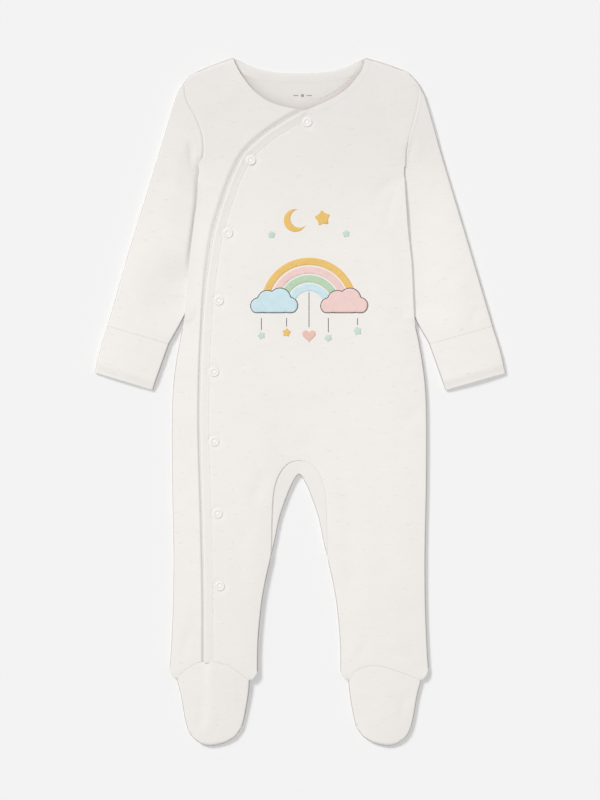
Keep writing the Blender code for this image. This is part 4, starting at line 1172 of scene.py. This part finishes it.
def heart(centre, size):
    t = np.linspace(0, 2 * math.pi, 60, endpoint=False)
    x = 16 * np.sin(t) ** 3
    y = 13 * np.cos(t) - 5 * np.cos(2 * t) - 2 * np.cos(3 * t) - np.cos(4 * t)
    return (np.array(centre) + size / 32 * np.column_stack([x, y]))[::-1]


def crescent(centre, radius, turned):
    outer, inner = arc((0, 0), radius, 50, 310), arc((0.42 * radius, 0), 0.80 * radius, 292, 68)
    turn = math.radians(turned)
    spin = np.array([(math.cos(turn), math.sin(turn)), (-math.sin(turn), math.cos(turn))])
    return np.array(centre) + softened(np.vstack([outer, inner]), 1) @ spin


CLOUD_PUFFS = [  # x, y and radius, as shares of the cloud's width
    (-0.33, 0.12, 0.16), (-0.14, 0.24, 0.20), (0.13, 0.27, 0.22), (0.34, 0.13, 0.16), (0.0, 0.10, 0.24),
]


def cloud(centre, width, margin=0.0):
    """The outline of overlapping round puffs on a flat base, as seen from a point low in the middle."""
    hub = np.array([0.0, 0.10 * width])
    turn = np.linspace(0, 2 * math.pi, 110, endpoint=False)
    rays = np.column_stack([np.cos(turn), np.sin(turn)])
    reach = np.zeros(len(turn))
    for x, y, radius in CLOUD_PUFFS:
        off, r = np.array([x, y]) * width - hub, radius * width + margin
        along = rays @ off
        inside = r**2 - off @ off + along**2
        reach = np.maximum(reach, np.where(inside > 0, along + np.sqrt(np.maximum(inside, 0)), 0))
    down = np.minimum(rays[:, 1], -1e-6)
    reach = np.where(rays[:, 1] < 0, np.minimum(reach, (0.12 * width + margin) / -down), reach)
    return softened(np.array(centre) + hub + rays * reach[:, None], 1)


def stroke(points, wide=LINE_WIDE):
    """A thin straight line."""
    line = spaced(np.array(points, float), 24)
    left, right = moved_in(line, wide / 2), moved_in(line, -wide / 2)
    return np.vstack([right, left[::-1]])


def laid_film(outline, lift):
    """A thin film of ink inside an outline, on the wide front."""
    run = np.linalg.norm(np.roll(outline, -1, axis=0) - outline, axis=1).sum()
    outline = spaced(np.vstack([outline, outline[:1]]), max(12, round(run / OUTLINE_STEP)))[:-1]
    low, high = outline.min(0), outline.max(0)
    x, y = np.meshgrid(np.arange(low[0], high[0], FILM_STEP), np.arange(low[1], high[1], FILM_STEP))
    x, y = x.ravel(), y.ravel()
    ends = np.roll(outline, -1, axis=0)
    crossed = (outline[:, 1] > y[:, None]) != (ends[:, 1] > y[:, None])
    up = np.where(ends[:, 1] == outline[:, 1], 1e-9, ends[:, 1] - outline[:, 1])
    slope = (ends[:, 0] - outline[:, 0]) / up
    beyond = x[:, None] < outline[:, 0] + slope * (y[:, None] - outline[:, 1])
    within = (crossed & beyond).sum(1) % 2 == 1
    within &= distance([np.vstack([outline, outline[:1]])], x, y) > 0.5 * OUTLINE_STEP
    points = np.vstack([outline, np.column_stack([x, y])[within]])
    found = delaunay_2d_cdt(points.tolist(), [], [list(range(len(outline)))], 1, 1e-5)
    plan, faces = np.array([tuple(p) for p in found[0]]), np.array(found[2])
    heights = main_top(plan[:, 0], plan[:, 1]) + lift
    return cloth_shell(np.column_stack([plan, heights]), faces[:, [0, 1, 2, 2]], FILM, FILM_BULGE)


INK_LAYERS = (0.10, 0.16, 0.22)  # heights of the bands, the dark lines and what is printed over both


def ink(name, colour, shapes):
    """One colour of the print, a little worn, on all of its shapes. Each shape comes with its layer."""
    material, shader, places = new_finish(name, 0.85, specular=0.2)
    loose = places.ruffled(1.2, 0.3)
    worn = (loose.spots(0.9, 0.8, 9.0) * 0.42).mixed(colour + (1.0,), (0.93, 0.905, 0.88, 1.0))
    darker = tuple(0.9 * c for c in colour) + (1.0,)
    ((places.grain(5.0, 1.5) - 0.5) * 1.6 + 0.15).clamped().mixed(worn, darker).into(shader, "Base Color")
    knit_bump(shader, places, 0.35)
    films = together([laid_film(outline, INK_LAYERS[layer]) for outline, layer in shapes])
    piece_of(name, *films, material)


LEFT_CLOUD, RIGHT_CLOUD, CLOUD_WIDE = (-22.0, 79.0), (39.2, 79.0), 41.0
MOON, BIG_STAR = (-3.5, 158.5), (20.5, 160.5)
SMALL_STARS = [(-24.0, 146.0), (41.0, 147.0), (-33.0, 58.0), (25.5, 56.0)]
MUSTARD_CHARM, MINT_CHARM, HEART_CHARM = (-11.0, 60.5), (51.0, 62.0), (8.6, 58.0)
CHARM_STRINGS = [  # x, top and foot of each
    (8.6, 96.0, 65.0), (-11.0, 73.5, 65.5), (51.0, 73.5, 67.0), (-33.0, 73.5, 62.6), (25.5, 73.5, 60.6),
]

ink("print_mustard", (0.835, 0.545, 0.170), [
    (band(ARCH_OUTER), 0), (crescent(MOON, 10.0, 25.0), 0), (star(BIG_STAR, 8.0, 8.0), 0),
    (star(MUSTARD_CHARM, 4.6, -6.0), 0),
])
ink("print_pink", (0.870, 0.625, 0.590), [
    (band(ARCH_OUTER - BAND_STEP), 0), (cloud(RIGHT_CLOUD, CLOUD_WIDE), 2),
])
ink("print_green", (0.500, 0.665, 0.475), [(band(ARCH_OUTER - 2 * BAND_STEP), 0)])
ink("print_blue", (0.615, 0.785, 0.840), [
    (band(ARCH_OUTER - 3 * BAND_STEP), 0), (cloud(LEFT_CLOUD, CLOUD_WIDE), 2),
])
ink("print_mint", (0.590, 0.735, 0.620), [
    *[(star(place, 4.2, 10.0 * number), 0) for number, place in enumerate(SMALL_STARS)],
    (star(MINT_CHARM, 4.6, 12.0), 0),
])
ink("print_coral", (0.830, 0.535, 0.450), [(heart(HEART_CHARM, 12.0), 0)])
ink("print_charcoal", (0.070, 0.070, 0.072), [
    *[(cloud(place, CLOUD_WIDE, 0.7), 1) for place in (LEFT_CLOUD, RIGHT_CLOUD)],
    *[(stroke([(x, top), (x, foot)]), 1) for x, top, foot in CHARM_STRINGS],
])


# Neck tape
# A narrow strip of the same cotton, folded flat over the seam allowance along the inside of the back neck.

TAPE_WIDE, TAPE_REACH = 8.2, 54.5  # its ends lie this far out on both sides
TAPE_NARROWS = 56.0, 12.0  # it narrows towards the first of these, over the second
TAPE_SECTION = [  # share of the width down from the neck's edge, height above the back
    (0.00, -0.10), (0.00, 0.22), (0.04, 0.36), (0.12, 0.42), (0.40, 0.42), (0.62, 0.34), (0.80, 0.20),
    (0.93, 0.08), (1.00, 0.00), (1.00, -0.10), (0.50, -0.10),
]

tape_line = np.vstack([BACK_NECK[::-1], mirrored(BACK_NECK[1:])])
tape_line = spaced(tape_line[np.abs(tape_line[:, 0]) < TAPE_REACH] - (0, 0.3), 160)
tape_wide = smooth((TAPE_NARROWS[0] - np.abs(tape_line[:, 0])) / TAPE_NARROWS[1])
tape_wide = TAPE_WIDE * (0.45 + 0.55 * tape_wide)
tape_rings = strip_rings(tape_line, tape_wide, back_top, TAPE_SECTION, np.ones(len(tape_line)))
tape = piece_of("neck_tape", *lofted(tape_rings), binding_cotton)
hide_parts("neck_facing")


# Neck mark
# A tiny star between two dashes, in grey ink on the inside of the back, where such a suit has its size.

MARK = (2.9, 268.2)
MARK_STAR, DASH, DASH_WIDE = 1.9, (3.6, 8.0), 0.8  # its radius, and each dash's ends, out from the middle
MARK_FILM, MARK_LIFT = 0.1, 0.08


def marked(shape):
    """A thin film of ink inside a small outline, as a fan round its middle, on the back's inside."""
    number, plan = np.arange(len(shape)), np.vstack([shape, shape.mean(0)])
    flat = np.column_stack([plan, back_top(plan[:, 0], plan[:, 1]) + MARK_LIFT])
    fan = np.stack([number, np.roll(number, -1), np.full(len(shape), len(shape))], -1)[:, [0, 1, 2, 2]]
    return cloth_shell(flat, fan, MARK_FILM, FILM_BULGE)


def neck_mark():
    material, shader, places = new_finish("grey_ink", 0.85, specular=0.2)
    faded = (places.grain(0.6) * 0.5).mixed((0.30, 0.30, 0.30, 1.0), (0.50, 0.49, 0.48, 1.0))
    faded.into(shader, "Base Color")
    (x, y), (near, far) = MARK, DASH
    dashes = [(x - far, y), (x - near, y)], [(x + near, y), (x + far, y)]
    shapes = [star(MARK, MARK_STAR), *[stroke(ends, DASH_WIDE) for ends in dashes]]
    return piece_of("neck_mark", *together([marked(shape) for shape in shapes]), material)


neck_mark()


# Sewing
# Rows of lockstitch in cotton thread: along the binding's inner edge, round the neckline's turned edge,
# and along the lower edge of the neck tape.

STITCH_SIZES = {"Pitch": 2.8, "Length": 2.1, "Thickness": 0.42, "Seed": 7}


def sewing_cotton():
    material, shader, places = new_finish("sewing_cotton", 0.7, specular=0.25)
    colour = (places.grain(0.5, 3.0) * 0.8).mixed((0.86, 0.845, 0.815, 1.0), (0.90, 0.885, 0.86, 1.0))
    colour.into(shader, "Base Color")
    places.grain(0.15, 2.0).bump(0.3, 0.05).into(shader, "Normal")
    return material


def stitch_row_tree():
    given = new_tree("stitch_row", STITCH_SIZES)
    start = given["Geometry"]
    path = start.node("GeometryNodeMeshToCurve", {"Mesh": start})
    path = start.node("GeometryNodeResampleCurve", {"Curve": path, "Length": given["Pitch"]}, mode="LENGTH")
    heading = start.node("GeometryNodeInputTangent", {})
    turned = start.node("FunctionNodeAlignRotationToVector", {"Vector": heading}, axis="X")
    stitch = start.node("GeometryNodeMeshUVSphere", {"Segments": 8, "Rings": 6, "Radius": 0.5})
    size = start.node("ShaderNodeCombineXYZ", {
        "X": given["Length"], "Y": given["Thickness"], "Z": given["Thickness"],
    })
    stitch = start.node("GeometryNodeTransform", {"Geometry": stitch, "Scale": size})
    stitch = start.node("GeometryNodeSetShadeSmooth", {"Geometry": stitch})
    limits = {"Min": 0.86, "Max": 1.08, "Seed": given["Seed"]}
    vary = start.node("FunctionNodeRandomValue", limits, output=1)
    return start.node("GeometryNodeInstanceOnPoints", {
        "Points": path, "Instance": stitch, "Rotation": turned, "Scale": vary,
    })


stitches = stitch_row_tree()
finished(stitches, sewing_cotton())


def sewn(name, line, top, height):
    """A row of stitches along a line, at a height above what top gives."""
    points = np.column_stack([line, top(line[:, 0], line[:, 1]) + height])
    edges = [(k, k + 1) for k in range(len(line) - 1)]
    grown(name, stitches.tree, STITCH_SIZES, points, edges)


inner_edge = moved_in(binding_line, np.maximum(width - 0.7, 0.3))[24:]
sewn("binding_stitches", inner_edge, main_top, 0.14)
neck_row = spaced(moved_in(MAIN_NECK, -4.6)[8:-12], 90)
sewn("right_neck_stitches", neck_row, main_top, 0.02)
neck_row = spaced(moved_in(UNDER_NECK, -4.8)[8:-40], 90)
sewn("left_neck_stitches", neck_row, under_top, 0.02)
tape_edge = moved_in(tape_line, tape_wide - 0.9)[4:-4]
sewn("tape_stitches", tape_edge, back_top, 0.12)


# Floor, light and camera
# A wide sheet of pale paper under the suit, soft light from straight above, a window's light from the upper
# left, and a long lens that looks straight down.

FLOOR_HALF, FLOOR_HEIGHT = 12.0, -0.0001  # metres
LENS, SENSOR = 135.0, 36.0  # millimetres
HALF_VIEW, SEEN_HEIGHT = 0.35, 0.003  # metres: half of what is seen from top to bottom, at this height
CAMERA_PLACE = (0.00074, 0.0016)

half, height = FLOOR_HALF, FLOOR_HEIGHT
corners = [(-half, -half, height), (half, -half, height), (half, half, height), (-half, half, height)]
mesh = bpy.data.meshes.new("floor")
mesh.from_pydata(corners, [], [(0, 1, 2, 3)])
floor = placed("floor", mesh)
paper, shader, places = new_finish("pale_paper", 0.9, specular=0.1)
pale = (places.grain(60.0) * 0.3).mixed((0.880, 0.880, 0.880, 1.0), (0.876, 0.876, 0.876, 1.0))
pale.into(shader, "Base Color")
mesh.materials.append(paper)

world = bpy.data.worlds.new("studio")
world.use_nodes = True
world.node_tree.nodes["Background"].inputs["Color"].default_value = (1.0, 1.0, 1.0, 1.0)
world.node_tree.nodes["Background"].inputs["Strength"].default_value = 0.25
bpy.context.scene.world = world


def sunlight(name, energy, angle, tilt):
    """A far lamp, tilted about X and then Y, in degrees."""
    sun = bpy.data.lights.new(name, "SUN")
    sun.energy, sun.angle = energy, math.radians(angle)
    lamp = placed(name, sun)
    lamp.rotation_euler = (math.radians(tilt[0]), math.radians(tilt[1]), 0)


sunlight("overhead", 1.32, 6.0, (0.0, 0.0))
sunlight("window", 1.64, 16.0, (-32.0, -38.7))

bpy.context.scene.view_settings.view_transform = "Standard"
lens = bpy.data.cameras.new("camera")
lens.lens, lens.sensor_width = LENS, SENSOR
camera = placed("camera", lens)
camera.location = (*CAMERA_PLACE, SEEN_HEIGHT + HALF_VIEW * LENS / (SENSOR / 2))
bpy.context.scene.camera = camera
